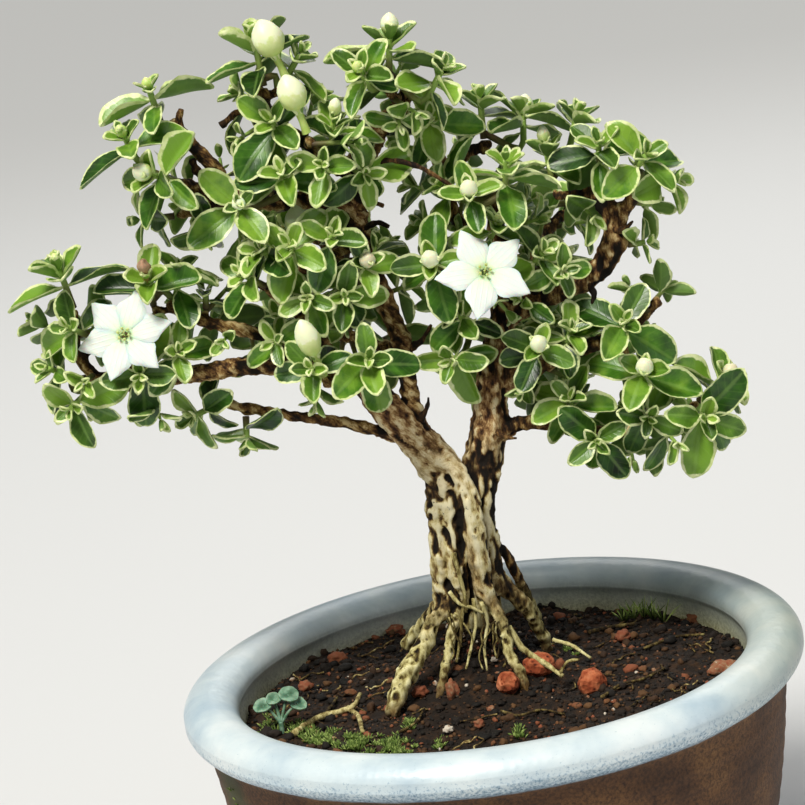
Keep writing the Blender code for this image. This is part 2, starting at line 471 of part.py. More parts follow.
def nearest_on(path, target):
    """The nearest point on a limb's middle line, short of its end, and the limb's radius there."""
    best = None
    for (a, ra), (b, rb) in zip(path, path[1:]):
        most = 1.0 if b != path[-1][0] else 1.0 - min(1.0, 1.3 / (b - a).length)
        share = max(0.0, min(most, (target - a).dot(b - a) / (b - a).length_squared))
        point = a.lerp(b, share)
        distance = (target - point).length
        if best is None or distance < best[0]:
            best = (distance, point, ra + (rb - ra) * share)
    return best[1:]


def limb_paths():
    """Every limb and root as a list of (place, radius)."""
    table = {**LIMBS, **ROOTS}
    return {name: [(at(u, v, y), r) for u, v, y, r in rows] for name, rows in table.items()}


def around(axis, size):
    """Offsets to try across an axis: none first, then eight ways out."""
    yield Vector()
    side = axis.orthogonal().normalized()
    for k in range(8):
        yield Matrix.Rotation(math.tau * k / 8, 3, axis) @ side * size


def twig_routes(path, foot, grows):
    """Ways for a twig to run from a limb to the foot of a shoot, plainest first."""
    for back in TWIG_BACKS:
        start, radius = nearest_on(path, foot - grows * back)
        thick = min(TWIG_RADIUS + 0.015 * (foot - start).length, 0.84 * radius)
        if (foot - start).angle(grows) < STRAIGHT_ENOUGH:
            yield [start, foot], [thick, TWIG_RADIUS], 3, None
        for stretch in TWIG_KNEES:
            knee = foot - grows * stretch
            for offset in around(grows, TWIG_BOW):
                bow = [start.lerp(knee, 0.5) + offset] if offset.length else []
                points = [start, *bow, knee, foot]
                yield points, [thick] * (len(points) - 2) + [TWIG_RADIUS * 1.08, TWIG_RADIUS], 3, None


class Tuft:
    """One tuft of opposite leaves: its heart, the way it grows, its stem and its leaf poses."""

    def __init__(self, row):
        u, v, y, grows, self.turn, self.lengths, self.bud = row
        self.heart = at(u, v, y)
        self.grows = heading(*grows)
        self.top = self.heart + self.grows * (PAIR_STEP * (len(self.lengths) - 1) + 0.4)
        self.stand(STEM_DROPS[0])

    def stand(self, drop):
        """Sets how far below the heart the tuft's own stem begins."""
        self.foot = self.heart - self.grows * drop

    def stem(self):
        """The square stem that carries the tuft, tip first."""
        return [self.top, self.foot], [SHOOT_RADIUS, SHOOT_RADIUS * 1.15], 4, self.radial(45)

    def bud_shape(self):
        """The bud or spent flower at the tip, if the tuft has one."""
        if not self.bud:
            return None
        length, width, neck = SMALL_BUDS[self.bud]
        return bud_shape(self.top - self.grows * 0.6, self.grows, length, width, neck, 4)

    def radial(self, degrees):
        """The way out from the stem at this turn from the tuft's own."""
        level = (SHEET_RIGHT - self.grows * SHEET_RIGHT.dot(self.grows)).normalized()
        return Matrix.Rotation(math.radians(self.turn + degrees), 3, self.grows) @ level

    def leaf_pose(self, rank, which, swing, pitch):
        """Root, direction and upper side of a leaf. Rank 0 is the lowest, widest pair."""
        opening = math.radians(PAIR_OPENING[rank] + pitch)
        radial = self.radial(90 * rank + 180 * which + swing)
        along = self.grows * math.cos(opening) + radial * math.sin(opening)
        upper = self.grows * math.sin(opening) - radial * math.cos(opening)
        root = self.heart + self.grows * (PAIR_STEP * rank) + along * LEAF_STALK
        return root, along, upper


def swings():
    """Small turns to try, mildest first, until a leaf is clear of its neighbours."""
    yield 0, 0
    for size in (1, 2, 3):
        for swing, pitch in ((0, -12), (13, 0), (-13, 0), (0, 10), (11, -10), (-11, -10)):
            yield swing * size, pitch * size


class Crown:
    """Places every shoot, bud and bloom so that nothing runs into anything else."""

    def __init__(self):
        self.paths = limb_paths()
        self.draw = random.Random(7)
        self.wood = []
        self.obstacles = []
        for path in self.paths.values():
            radii = [r for _, r in path]
            sides = 6 if max(radii) > 2.0 else 5 if max(radii) > 1.45 else 4
            self.add_wood(([p for p, _ in path], radii, sides, None))
        self.blooms = [self.pose(row[1], row[2], BLOOM_TUBE) + row[3:] for row in BLOOMS]
        self.buds = [self.pose(row[1], row[2], BUD_NECK + row[3] / 2) + row[3:] for row in BIG_BUDS]
        for pose in self.blooms:
            for shape in bloom_shapes(*pose):
                self.block("bloom", shape)
        for pose in self.buds:
            self.block("bud", bud_shape(*pose, BUD_NECK, 6))
        self.tufts = [[Tuft(row) for row in rows] for _, rows in SHOOTS]
        for tufts in self.tufts:
            self.shorten(tufts[0])
        self.stems = [[tufts[0].stem()] for tufts in self.tufts]
        for number, (tufts, stems) in enumerate(zip(self.tufts, self.stems)):
            self.block(number, tube_shape(*stems[0]))
            for tuft in tufts:
                self.block(number, tuft.bud_shape())
        for row, pose in zip(BLOOMS + BIG_BUDS, self.blooms + self.buds):
            self.grow_twig(None, row[0], pose[0], pose[1])
        for number, ((limb, _), tufts) in enumerate(zip(SHOOTS, self.tufts)):
            self.grow_twig(number, limb, tufts[0].foot, tufts[0].grows)
        for number, (tufts, stems) in enumerate(zip(self.tufts, self.stems)):
            for tuft in tufts[1:]:
                routes = self.side_routes(tufts[0], tuft, FORK_SPACING * (len(stems) - 1))
                stems.append(self.clear_route(number, routes, True))
                self.block(number, tube_shape(*stems[-1]))

    def pose(self, place, faces, reach):
        """Foot and facing of a bud or bloom whose middle is at a place."""
        facing = heading(*faces)
        return at(*place) - facing * reach, facing

    def shorten(self, tuft):
        """Shortens a tuft's stem until it stands clear of the wood."""
        for drop in STEM_DROPS:
            tuft.stand(drop)
            points, radii, sides, side = tuft.stem()
            grown = tree_of(*tube_shape(points, [r + LEAF_CLEARANCE for r in radii], sides, side))
            if not any(owner == "wood" and grown.overlap(tree) for owner, tree in self.obstacles):
                return
        print("stem in the wood at", tuft.heart)

    def block(self, owner, shape):
        if shape:
            self.obstacles.append((owner, tree_of(*shape)))

    def add_wood(self, tube):
        self.wood.append(tube)
        self.block("wood", tube_shape(*tube))

    def grow_twig(self, number, limb, foot, grows):
        """A twig up to the foot of a shoot, bud or bloom, stopping just short of it."""
        routes = twig_routes(self.paths[limb], foot - grows * CLEARANCE, grows)
        self.add_wood(self.clear_route(number, routes, False))

    def side_routes(self, main, tuft, apart):
        """Ways for a square side stem to run from a tuft's tip down to the shoot's first stem."""
        for drop in STEM_DROPS:
            turn = tuft.heart - tuft.grows * drop
            for rise in FORK_RISES:
                fork = main.foot + main.grows * (rise + apart)
                for offset in around((turn - fork).normalized(), STEM_BOW):
                    knee = turn.lerp(fork, 0.5) + offset
                    points = [tuft.top, turn, knee, fork] if offset.length else [tuft.top, turn, fork]
                    radii = [SHOOT_RADIUS] * (len(points) - 1) + [SHOOT_RADIUS * 0.6]
                    yield points, radii, 4, tuft.radial(45)

    def clear_route(self, owner, routes, off_wood):
        """The first route that keeps clear of everything it doesn't belong to."""
        first = known = None
        for route in routes:
            first = first or route
            points, radii, sides, side = route
            bare = tree_of(*tube_shape(*route))
            grown = tree_of(*tube_shape(points, [r + LEAF_CLEARANCE for r in radii], sides, side))
            hits = [o for o, tree in self.obstacles
                    if (off_wood or o != "wood") and (grown if o != owner else bare).overlap(tree)
                    and (o != owner or not off_wood)]
            if not hits:
                return route
            known = known or hits
        print("no clear route:", owner, known)
        return first

    def place_leaf(self, number, tuft, rank, which):
        """A clear pose for one leaf, or None: mild swings first, then a shorter blade."""
        lean = self.draw.uniform(-9, 9)
        nod = self.draw.uniform(-6, 8)
        size = self.draw.uniform(0.92, 1.06)
        for shrink in SHORTENINGS:
            for swing, pitch in swings():
                root, along, upper = tuft.leaf_pose(rank, which, lean + swing, nod + pitch)
                length = tuft.lengths[rank] * size * shrink
                width = max(NARROWEST_LEAF, length * LEAF_WIDTH_SHARE)
                stations = SMALL_STATIONS if length < SMALL_LEAF else BLADE_STATIONS
                grown = (root, along, upper, length + LEAF_CLEARANCE, width + 2 * LEAF_CLEARANCE,
                         BLADE_THICKNESS + 2 * LEAF_CLEARANCE, stations, LEAF_DROOP)
                whole = tree_of(*blade_shape(*grown, start=0.1))
                outer = tree_of(*blade_shape(*grown, start=0.3))
                if not any((outer if owner == number else whole).overlap(tree)
                           for owner, tree in self.obstacles):
                    pose = (root, along, upper, length, width, BLADE_THICKNESS, stations, LEAF_DROOP)
                    self.obstacles.append((number, tree_of(*blade_shape(*pose))))
                    return pose
        return None

    def leaves(self):
        """Every leaf's pose, shoot by shoot, widest pairs first."""
        placed = [[] for _ in self.tufts]
        for rank in range(PAIRS_MODELLED):
            for number, tufts in enumerate(self.tufts):
                for tuft in tufts:
                    if rank < len(tuft.lengths):
                        found = [self.place_leaf(number, tuft, rank, which) for which in (0, 1)]
                        placed[number] += [pose for pose in found if pose]
        return placed


def turned_shape(profile, foot, facing, sides):
    """Points and faces of a closed turned form: profile rows are (distance along, radius)."""
    side = facing.orthogonal().normalized()
    across = facing.cross(side)
    points = []
    for along, radius in profile:
        for k in range(sides):
            angle = math.tau * k / sides
            out = side * math.cos(angle) + across * math.sin(angle)
            points.append(foot + facing * along + out * radius)
    faces = [tuple(range(sides))[::-1]]
    for i in range(len(profile) - 1):
        for k in range(sides):
            a, b = i * sides + k, i * sides + (k + 1) % sides
            faces.append((a, b, b + sides, a + sides))
    last = (len(profile) - 1) * sides
    faces.append(tuple(range(last, last + sides)))
    return points, faces


def bud_shape(foot, facing, length, width, neck, sides):
    """A closed flower bud: a slim neck widening into an egg."""
    half = width / 2
    profile = [(0, BUD_NECK_RADIUS), (neck + 0.05 * length, 0.35 * half + 0.25),
               (neck + 0.3 * length, 0.95 * half), (neck + 0.65 * length, 0.95 * half),
               (neck + length, 0.25 * half)]
    if sides < 6:
        del profile[1]
    return turned_shape(profile, foot, facing, sides)


def bloom_shapes(foot, facing, radius, lobes, turn):
    """The funnel and the spreading lobes of one open flower."""
    profile = [(BLOOM_TUBE * share, wide) for share, wide in FUNNEL]
    shapes = [turned_shape(profile, foot, facing, 6)]
    level = (SHEET_RIGHT - facing * SHEET_RIGHT.dot(facing)).normalized()
    throat = foot + facing * BLOOM_TUBE
    for k in range(lobes):
        out = Matrix.Rotation(math.radians(turn) + math.tau * k / lobes, 3, facing) @ level
        along = (out + facing * LOBE_RISE).normalized()
        droop = 0.12 + 0.03 * (k % 3)
        shapes.append(blade_shape(throat + out * LOBE_START, along, facing, radius - LOBE_START,
                                  radius * LOBE_WIDTH_SHARE, BLADE_THICKNESS, PETAL_STATIONS, droop))
    return shapes


def make_pot():
    """Thrown stoneware pot: a steep bowl on a flat foot, with a thick rolled rim and three drain holes."""
    rim_middle = POT_RADIUS - RIM_HALF_WIDTH
    rim = [(rim_middle + RIM_HALF_WIDTH * math.cos(math.radians(a)),
            RIM_LEVEL + RIM_HALF_HEIGHT * math.sin(math.radians(a))) for a in (-50, -10, 30, 70, 115, 165)]
    outside = [(FOOT_RADIUS, 0), (FOOT_RADIUS + 1, 2.2), (33.4, 9.5), (38.4, 24), (BODY_RADIUS, 43.6)]
    inside = [(WALL_INSIDE, 42), (32.8, 18), (26.0, FLOOR_THICKNESS + 2), (20.0, FLOOR_THICKNESS)]
    profile = outside + rim + inside
    points = []
    for radius, z in profile:
        for k in range(POT_SIDES):
            angle = math.tau * k / POT_SIDES
            points.append((radius * math.cos(angle), radius * math.sin(angle), z))
    faces = [tuple(range(POT_SIDES))[::-1]]
    for i in range(len(profile) - 1):
        for k in range(POT_SIDES):
            a, b = i * POT_SIDES + k, i * POT_SIDES + (k + 1) % POT_SIDES
            faces.append((a, b, b + POT_SIDES, a + POT_SIDES))
    last = (len(profile) - 1) * POT_SIDES
    faces.append(tuple(range(last, last + POT_SIDES)))
    pot = solid("pot", points, faces, "glaze")
    drains = []
    for k in range(DRAIN_COUNT):
        angle = math.tau * (k + 0.25) / DRAIN_COUNT
        foot = Vector((DRAIN_CIRCLE * math.cos(angle), DRAIN_CIRCLE * math.sin(angle), -2))
        bore = ((0, DRAIN_RADIUS), (FLOOR_THICKNESS + 4, DRAIN_RADIUS))
        drains.append(solid("drain", *turned_shape(bore, foot, Vector((0, 0, 1)), 12), "glaze"))
    return smooth_shaded(merged(pot, drains, "DIFFERENCE", "EXACT"))


def make_pebble(number, row):
    """A rough pebble, sunk a third of its height into the soil: (object, cutter that beds it)."""
    u, v, half, seed = row
    centre = on_soil(u, v, half[2] * PEBBLE_BEDDING)
    made = []
    for grow in (0.0, CLEARANCE + 0.1):
        shape = bmesh.new()
        bmesh.ops.create_icosphere(shape, subdivisions=2, radius=1.0)
        for vert in shape.verts:
            lump = 1 + PEBBLE_LUMPS * noise.noise(vert.co * 1.7 + Vector((seed, 0, 0)))
            size = Vector([vert.co[i] * (half[i] * lump + grow) for i in range(3)])
            vert.co = (centre + size) * MM
        mesh = bpy.data.meshes.new("pebble")
        shape.to_mesh(mesh)
        shape.free()
        piece = bpy.data.objects.new(f"pebble_{number}", mesh)
        bpy.context.scene.collection.objects.link(piece)
        mesh.materials.append(material("pebble"))
        made.append(piece)
    return made


def seedling_shapes(extra):
    """Stem and leaflets of the seedling; extra makes the stem stouter, for its hole in the soil."""
    base = on_soil(*SEEDLING_FOOT, 0.0)
    foot = base - Vector((0, 0, 2.2 + extra))
    neck = base + Vector((0, 0, 1.2))
    shapes = [tube_shape([foot, neck], [SEEDLING_STEM + extra] * 2, 5)]
    if extra:
        return shapes
    for right, up, size in SEEDLING_LEAFLETS:
        tip = neck + SHEET_RIGHT * right + SHEET_UP * up
        shapes.append(tube_shape([neck - Vector((0, 0, 0.4)), tip], [SEEDLING_STALK] * 2, 4))
        facing = heading(0.1 * right, 0.8, 0.7)
        disc = ((-LEAFLET_HALF_THICKNESS, size), (LEAFLET_HALF_THICKNESS, size))
        shapes.append(turned_shape(disc, tip, facing, 6))
    return shapes


def make_soil(cutters):
    """The soil: it fills the pot with a small gap, and its top is raised by formula."""
    rings = (*SOIL_RINGS, WALL_INSIDE - 2 * CLEARANCE)
    walls = [(radius - CLEARANCE, z) for radius, z in SOIL_WALL]
    points = [(0, 0, soil_height(0, 0))]
    for radius in rings:
        for k in range(SOIL_SIDES):
            angle = math.tau * k / SOIL_SIDES
            x, y = radius * math.cos(angle), radius * math.sin(angle)
            points.append((x, y, soil_height(x, y)))
    for radius, z in walls:
        for k in range(SOIL_SIDES):
            angle = math.tau * k / SOIL_SIDES
            points.append((radius * math.cos(angle), radius * math.sin(angle), z))
    faces = [(0, 1 + k, 1 + (k + 1) % SOIL_SIDES) for k in range(SOIL_SIDES)]
    for i in range(len(rings) + len(walls) - 1):
        for k in range(SOIL_SIDES):
            a, b = 1 + i * SOIL_SIDES + k, 1 + i * SOIL_SIDES + (k + 1) % SOIL_SIDES
            faces += [(a, a + SOIL_SIDES, b + SOIL_SIDES), (a, b + SOIL_SIDES, b)]
    last = 1 + (len(rings) + len(walls) - 1) * SOIL_SIDES
    faces.append(tuple(range(last, last + SOIL_SIDES)))
    soil = solid("soil", points, faces, "soil")
    return merged(soil, cutters, "DIFFERENCE", "MANIFOLD")


def root_cutters(crown):
    """Slightly stouter copies of the roots and trunk, which leave plain holes for them in the soil."""
    made = []
    for name in (*BURIED_STRANDS, *ROOTS):
        points = [p for p, _ in crown.paths[name]]
        radii = [r + ROOT_HOLE_GAP for _, r in crown.paths[name]]
        points[-1] = points[-1] + (points[-1] - points[-2]).normalized() * 0.5
        if name in LIMBS:
            points[0] = points[0] + (points[0] - points[1]).normalized() * 0.5
        made.append(solid("root_hole", *tube_shape(points, radii, 8 if max(radii) > 1.9 else 6), "soil"))
    return made


def main():
    for old in list(bpy.data.objects):
        bpy.data.objects.remove(old)

    crown = Crown()
    leaves = crown.leaves()

    pieces = [solid("limb", *tube_shape(*tube), "bark") for tube in crown.wood]
    tree = merged(pieces[0], pieces[1:], "UNION", "MANIFOLD")
    tree.name = "trunk_and_branches"
    smooth_shaded(tree, 50)

    for number, (tufts, stems, poses) in enumerate(zip(crown.tufts, crown.stems, leaves), 1):
        shapes = [tube_shape(*stem) for stem in stems] + [tuft.bud_shape() for tuft in tufts if tuft.bud]
        parts = [solid("leaf", *shape, "leaf") for shape in shapes + [blade_shape(*pose) for pose in poses]]
        shoot = merged(parts[0], parts[1:], "UNION", "MANIFOLD")
        shoot.name = f"shoot_{number:02d}"

    for number, pose in enumerate(crown.buds, 1):
        smooth_shaded(solid(f"bud_{number}", *bud_shape(*pose, BUD_NECK, 8), "bud"), 60)

    for number, row in enumerate(crown.blooms, 1):
        parts = [solid("petal", *shape, "petal") for shape in bloom_shapes(*row)]
        bloom = merged(parts[0], parts[1:], "UNION", "MANIFOLD")
        bloom.name = f"bloom_{number}"

    beds = []
    for number, row in enumerate(PEBBLES, 1):
        pebble, bed = make_pebble(number, row)
        smooth_shaded(pebble, 60)
        beds.append(bed)

    parts = [solid("seedling_part", *shape, "seedling") for shape in seedling_shapes(0.0)]
    merged(parts[0], parts[1:], "UNION", "MANIFOLD").name = "seedling"
    hole = [solid("seedling_hole", *shape, "soil") for shape in seedling_shapes(CLEARANCE + 0.1)]

    make_soil(root_cutters(crown) + beds + hole)
    make_pot()
    print("leaves placed", sum(len(poses) for poses in leaves))


main()
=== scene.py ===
# %% [markdown]
# # A flowering myrtle bonsai in a glazed pot
# The imported CAD part is the frame: it holds the pot, the soil, the tree and every leafy shoot at their real
# sizes, as plain solids. This script replaces each plain solid by a finer piece that keeps its form, and adds
# what is too small for the solids: veins, bark, moss, soil crumbs. The box of the CAD model is kept at the
# start, so that the extra leaves stay inside it.

import math
import random

import bmesh
import bpy
import numpy as np
from mathutils import Matrix, Vector, noise
from mathutils.bvhtree import BVHTree
from mathutils.kdtree import KDTree


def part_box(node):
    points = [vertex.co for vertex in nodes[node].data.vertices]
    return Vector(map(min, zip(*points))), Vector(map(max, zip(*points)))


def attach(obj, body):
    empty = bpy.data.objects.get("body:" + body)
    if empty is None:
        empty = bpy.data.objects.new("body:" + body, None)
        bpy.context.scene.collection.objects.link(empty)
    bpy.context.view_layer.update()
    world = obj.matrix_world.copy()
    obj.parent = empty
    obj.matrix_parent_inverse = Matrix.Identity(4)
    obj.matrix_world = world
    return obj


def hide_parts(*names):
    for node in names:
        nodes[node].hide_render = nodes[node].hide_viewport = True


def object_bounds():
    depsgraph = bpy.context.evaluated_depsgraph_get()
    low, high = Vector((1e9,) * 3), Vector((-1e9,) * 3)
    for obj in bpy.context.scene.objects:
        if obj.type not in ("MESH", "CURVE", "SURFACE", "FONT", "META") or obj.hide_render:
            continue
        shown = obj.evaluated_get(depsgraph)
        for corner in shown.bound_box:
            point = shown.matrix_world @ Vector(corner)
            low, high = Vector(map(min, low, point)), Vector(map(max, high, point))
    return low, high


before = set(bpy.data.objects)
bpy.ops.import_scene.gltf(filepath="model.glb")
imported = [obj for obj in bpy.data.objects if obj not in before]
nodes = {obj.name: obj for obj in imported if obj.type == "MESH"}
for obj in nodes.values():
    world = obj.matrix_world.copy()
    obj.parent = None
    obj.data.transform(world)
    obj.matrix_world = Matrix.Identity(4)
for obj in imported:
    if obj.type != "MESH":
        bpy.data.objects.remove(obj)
cad_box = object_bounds()
# Noise vectors follow this seed, so the withered buds come out the same on each run
noise.seed_set(1)
print("CAD nodes:", len(nodes))

# %% [markdown]
# ## Units, colours and shader nodes
# The tree is easiest to think about in millimetres, and Blender measures in metres, so one constant turns the
# one into the other. Colours are written as sRGB hex, as a paint chart gives them, and one function makes
# them linear. One more function adds a shader node with its settings and links.

# %% Colour and node helpers
MM = 0.001
PER_MM = 1000.0


def paint(code):
    """An sRGB hex colour as linear red, green and blue, with full opacity."""
    shares = [int(code[i:i + 2], 16) / 255 for i in (0, 2, 4)]
    return [c / 12.92 if c <= 0.04045 else ((c + 0.055) / 1.055) ** 2.4 for c in shares] + [1.0]


def add(home, kind, inputs=None, stops=None, **settings):
    """Adds a shader node. Home is the material, or an output in it. Stops are a ramp's (place, hex) pairs."""
    tree = home.id_data if isinstance(home, bpy.types.NodeSocket) else home.node_tree
    made = tree.nodes.new("ShaderNode" + kind)
    for name, value in settings.items():
        setattr(made, name, value)
    for name, value in (inputs or {}).items():
        if isinstance(value, bpy.types.NodeSocket):
            tree.links.new(value, made.inputs[name])
        else:
            made.inputs[name].default_value = value
    if stops:
        ramp = made.color_ramp.elements
        ramp.remove(ramp[1])
        ramp[0].position = stops[0][0]
        ramp[0].color = paint(stops[0][1])
        for place, code in stops[1:]:
            ramp.new(place).color = paint(code)
    return made


def new_skin(name, **values):
    """A material and its Principled shader. Values that are the same all over sit on the shader's sockets."""
    skin = bpy.data.materials.new(name)
    skin.use_nodes = True
    shader = skin.node_tree.nodes["Principled BSDF"]
    for socket, value in values.items():
        shader.inputs[socket.replace("_", " ")].default_value = value
    return skin, shader


def join(skin, shader, **links):
    """Links node outputs to the shader's sockets."""
    for socket, output in links.items():
        skin.node_tree.links.new(output, shader.inputs[socket.replace("_", " ")])


print("mid grey in linear light:", round(paint("808080")[0], 3))

# %% [markdown]
# ## The few moves of a finish
# Every finish here is made with the same few moves: noise and cells of a given size, a mark read from the
# points, a value carried from one range to another or scaled and added, a colour picked from a ramp, two
# colours blended, and a height turned into a bump. Each move is one line, so that a finish reads as what was
# done to the surface.

# %% The moves of a finish
def on_object(skin):
    """The place of a point on the object, in metres."""
    return add(skin, "TexCoord").outputs["Object"]


def marked(skin, *names):
    """The marks that were left at the points under these names."""
    return [add(skin, "Attribute", attribute_name=name).outputs["Fac"] for name in names]


def clouds_of(where, size, detail=4.0, roughness=0.5, distortion=0.0):
    """Noise from 0 to 1, with patches about as many millimetres across as its size."""
    return add(where, "TexNoise", {"Vector": where, "Scale": PER_MM / size, "Detail": detail,
                                   "Roughness": roughness, "Distortion": distortion}).outputs["Fac"]


def cells_of(where, size):
    """How far a point lies from the middle of its cell. Cells are about as wide in mm as the size."""
    return add(where, "TexVoronoi", {"Vector": where, "Scale": PER_MM / size}).outputs["Distance"]


def fade(value, low, high, first=0.0, last=1.0):
    """A value carried from the range low to high to the range first to last, and held at its ends."""
    return add(value, "MapRange", {"Value": value, "From Min": low, "From Max": high, "To Min": first,
                                   "To Max": last}).outputs[0]


def scaled(value, gain, plus=0.0, **settings):
    """A value times a gain, plus another value."""
    return add(value, "Math", {0: value, 1: gain, 2: plus}, operation="MULTIPLY_ADD", **settings).outputs[0]


def ramp(share, *stops):
    """A colour picked from (place, hex) stops."""
    return add(share, "ValToRGB", {"Fac": share}, stops).outputs["Color"]


def blend(share, under, over, how="MIX"):
    """One colour laid over another by a share, mixed or multiplied."""
    return add(under, "Mix", {0: share, 6: under, 7: over}, data_type="RGBA", blend_type=how).outputs[2]


def bumpy(height, depth, strength, **more):
    """Normals of a surface with this height, as many millimetres deep as the depth."""
    values = {"Height": height, "Distance": depth * MM, "Strength": strength, **more}
    return add(height, "Bump", values).outputs["Normal"]


print("moves of a finish: noise, cells, marks, fades, sums, ramps, blends and bumps")

# %% [markdown]
# ## A pile of small shapes
# A shoot is dozens of leaves, and the soil is thousands of crumbs. An object for each would be slow, so small
# shapes are gathered in a pile that becomes one mesh. Numbers that a finish needs, such as how far a point
# lies from a leaf's margin, are kept at each point as marks.

# %% The pile
SCENE = bpy.context.scene
pieces = {}


def in_scene(name, data):
    """A new object in the scene."""
    thing = bpy.data.objects.new(name, data)
    SCENE.collection.objects.link(thing)
    return thing


def place(name, mesh, slot, replaced=()):
    """Puts a mesh in the scene as a piece that rides on the part's one body."""
    piece = pieces[name] = in_scene(name, mesh)
    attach(piece, "root")
    if replaced:
        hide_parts(*replaced)
    return piece


class Pile:
    """Shapes that will be one mesh: points in millimetres, faces as rows of 4 corners with -1 for none."""

    def __init__(self):
        self.parts = []

    def add(self, points, faces, skin=0, **marks):
        self.parts.append((np.asarray(points, float), np.asarray(faces), skin, marks))

    def lay(self, shape, skin=0):
        """Adds points, faces and marks that come together."""
        self.add(shape[0], shape[1], skin, **shape[2])

    def join(self, other):
        self.parts += other.parts

    def mesh(self, name, skins, sharp=None):
        """The mesh of the whole pile, shaded smooth except at edges sharper than the angle in degrees."""
        starts = np.cumsum([0] + [len(part[0]) for part in self.parts])
        points = np.concatenate([part[0] for part in self.parts]) * MM
        faces = []
        skin_of_face = []
        for start, (_, rows, skin, _) in zip(starts.tolist(), self.parts):
            faces += [[i + start for i in row if i >= 0] for row in rows.tolist()]
            skin_of_face += [skin] * len(rows)
        mesh = bpy.data.meshes.new(name)
        mesh.from_pydata(points.tolist(), [], faces)
        mesh.polygons.foreach_set("material_index", skin_of_face)
        for skin in skins:
            mesh.materials.append(skin)
        for mark in sorted({key for part in self.parts for key in part[3]}):
            values = [np.broadcast_to(part[3].get(mark, 0.0), len(part[0])) for part in self.parts]
            layer = mesh.attributes.new(mark, "FLOAT", "POINT")
            layer.data.foreach_set("value", np.concatenate(values).astype(np.float32))
        mesh.shade_smooth()
        if sharp:
            mesh.set_sharp_from_angle(angle=math.radians(sharp))
        return mesh


print("pieces are piles of points, faces and marks")

# %% [markdown]
# ## The sketch sheet
# The tree was laid out on a sketch sheet, 115 mm on a side, seen from the front and a little above, with the
# pot's axis leaning slightly in it. u runs across the sheet, v down it, and y is the distance behind the
# pot's axis. Repeating that sheet here gives the same places as the CAD source, and the camera stands where
# the sheet's eye is.

# %% Places on the sheet
SHEET = 115.0
EYE_DISTANCE = 450.0
EYE_ELEVATION = math.radians(13.8)
EYE_ROLL = math.radians(8.65)
RIM_LEVEL = 46.9
RIM_ON_SHEET = (70.3, 95.7)

SKY = Vector((0.0, math.sin(EYE_ELEVATION), math.cos(EYE_ELEVATION)))
SHEET_RIGHT = Vector((math.cos(EYE_ROLL), 0, 0)) - SKY * math.sin(EYE_ROLL)
SHEET_UP = Vector((math.sin(EYE_ROLL), 0, 0)) + SKY * math.cos(EYE_ROLL)
TO_EYE = Vector((0.0, -math.cos(EYE_ELEVATION), math.sin(EYE_ELEVATION)))
EYE = (
    Vector((0.0, 0.0, RIM_LEVEL))
    - SHEET_RIGHT * (RIM_ON_SHEET[0] - SHEET / 2)
    - SHEET_UP * (SHEET / 2 - RIM_ON_SHEET[1])
    + TO_EYE * EYE_DISTANCE
)


def at(u, v, y):
    """The world place of a point seen at (u, v) on the sheet and lying y behind the pot's axis."""
    ray = (SHEET_RIGHT * (u - SHEET / 2) + SHEET_UP * (SHEET / 2 - v)) / EYE_DISTANCE - TO_EYE
    return EYE + ray * ((y - EYE.y) / ray.y)


def heading(right, up, near):
    """A unit direction given across the sheet, up it, and towards the viewer."""
    return (SHEET_RIGHT * right + SHEET_UP * up + TO_EYE * near).normalized()


def level_out(axis):
    """The way out from an axis that is nearest to the sheet's right."""
    return (SHEET_RIGHT - axis * SHEET_RIGHT.dot(axis)).normalized()


print("eye at", [round(c) for c in EYE], "mm")

SOIL_LEVEL = RIM_LEVEL - 3.0
MOUND_HEIGHT = 5.5
MOUND_SPREAD = 10.0
MOUND_CENTRE = Vector((-2.0, 5.0))
CLOD_SIZE = 7.0
CLOD_HEIGHT = 1.1


def soil_height(x, y):
    """Level of the soil's surface in millimetres, as the CAD source has it."""
    away = (Vector((x, y)) - MOUND_CENTRE).length / MOUND_SPREAD
    clods = noise.noise(Vector((x / CLOD_SIZE, y / CLOD_SIZE, 1.7)))
    return SOIL_LEVEL + MOUND_HEIGHT * math.exp(-away * away) + CLOD_HEIGHT * clods


def seen_at(point):
    """Where on the sketch sheet a place is seen, as (u, v)."""
    ray = Vector(point) - EYE
    depth = -ray.dot(TO_EYE)
    right, up = EYE_DISTANCE * ray.dot(SHEET_RIGHT) / depth, EYE_DISTANCE * ray.dot(SHEET_UP) / depth
    return SHEET / 2 + right, SHEET / 2 - up


# %% [markdown]
# ## Camera, light and floor
# A sensor as wide as the sheet, seen from the eye's distance, makes one millimetre of the sheet one
# millimetre of tree at the pot's axis. The light is that of a bright overcast day: a broad soft sun that
# lights the floor evenly, a panel from the same side for the gloss on glaze and wax, a weaker one at the
# right, one behind for the leaves' edges, and a pale sky.

# %% Camera, lights and floor
SENSOR = 36.0
TRUNK_MIDDLE = Vector((0, 0, 0.08))

camera = in_scene("camera", bpy.data.cameras.new("camera"))
SCENE.camera = camera
camera.data.sensor_width = SENSOR
camera.data.lens = SENSOR * EYE_DISTANCE / SHEET
camera.data.clip_start = 0.05
pose = Matrix((SHEET_RIGHT, SHEET_UP, TO_EYE)).transposed().to_4x4()
pose.translation = EYE * MM
camera.matrix_world = pose

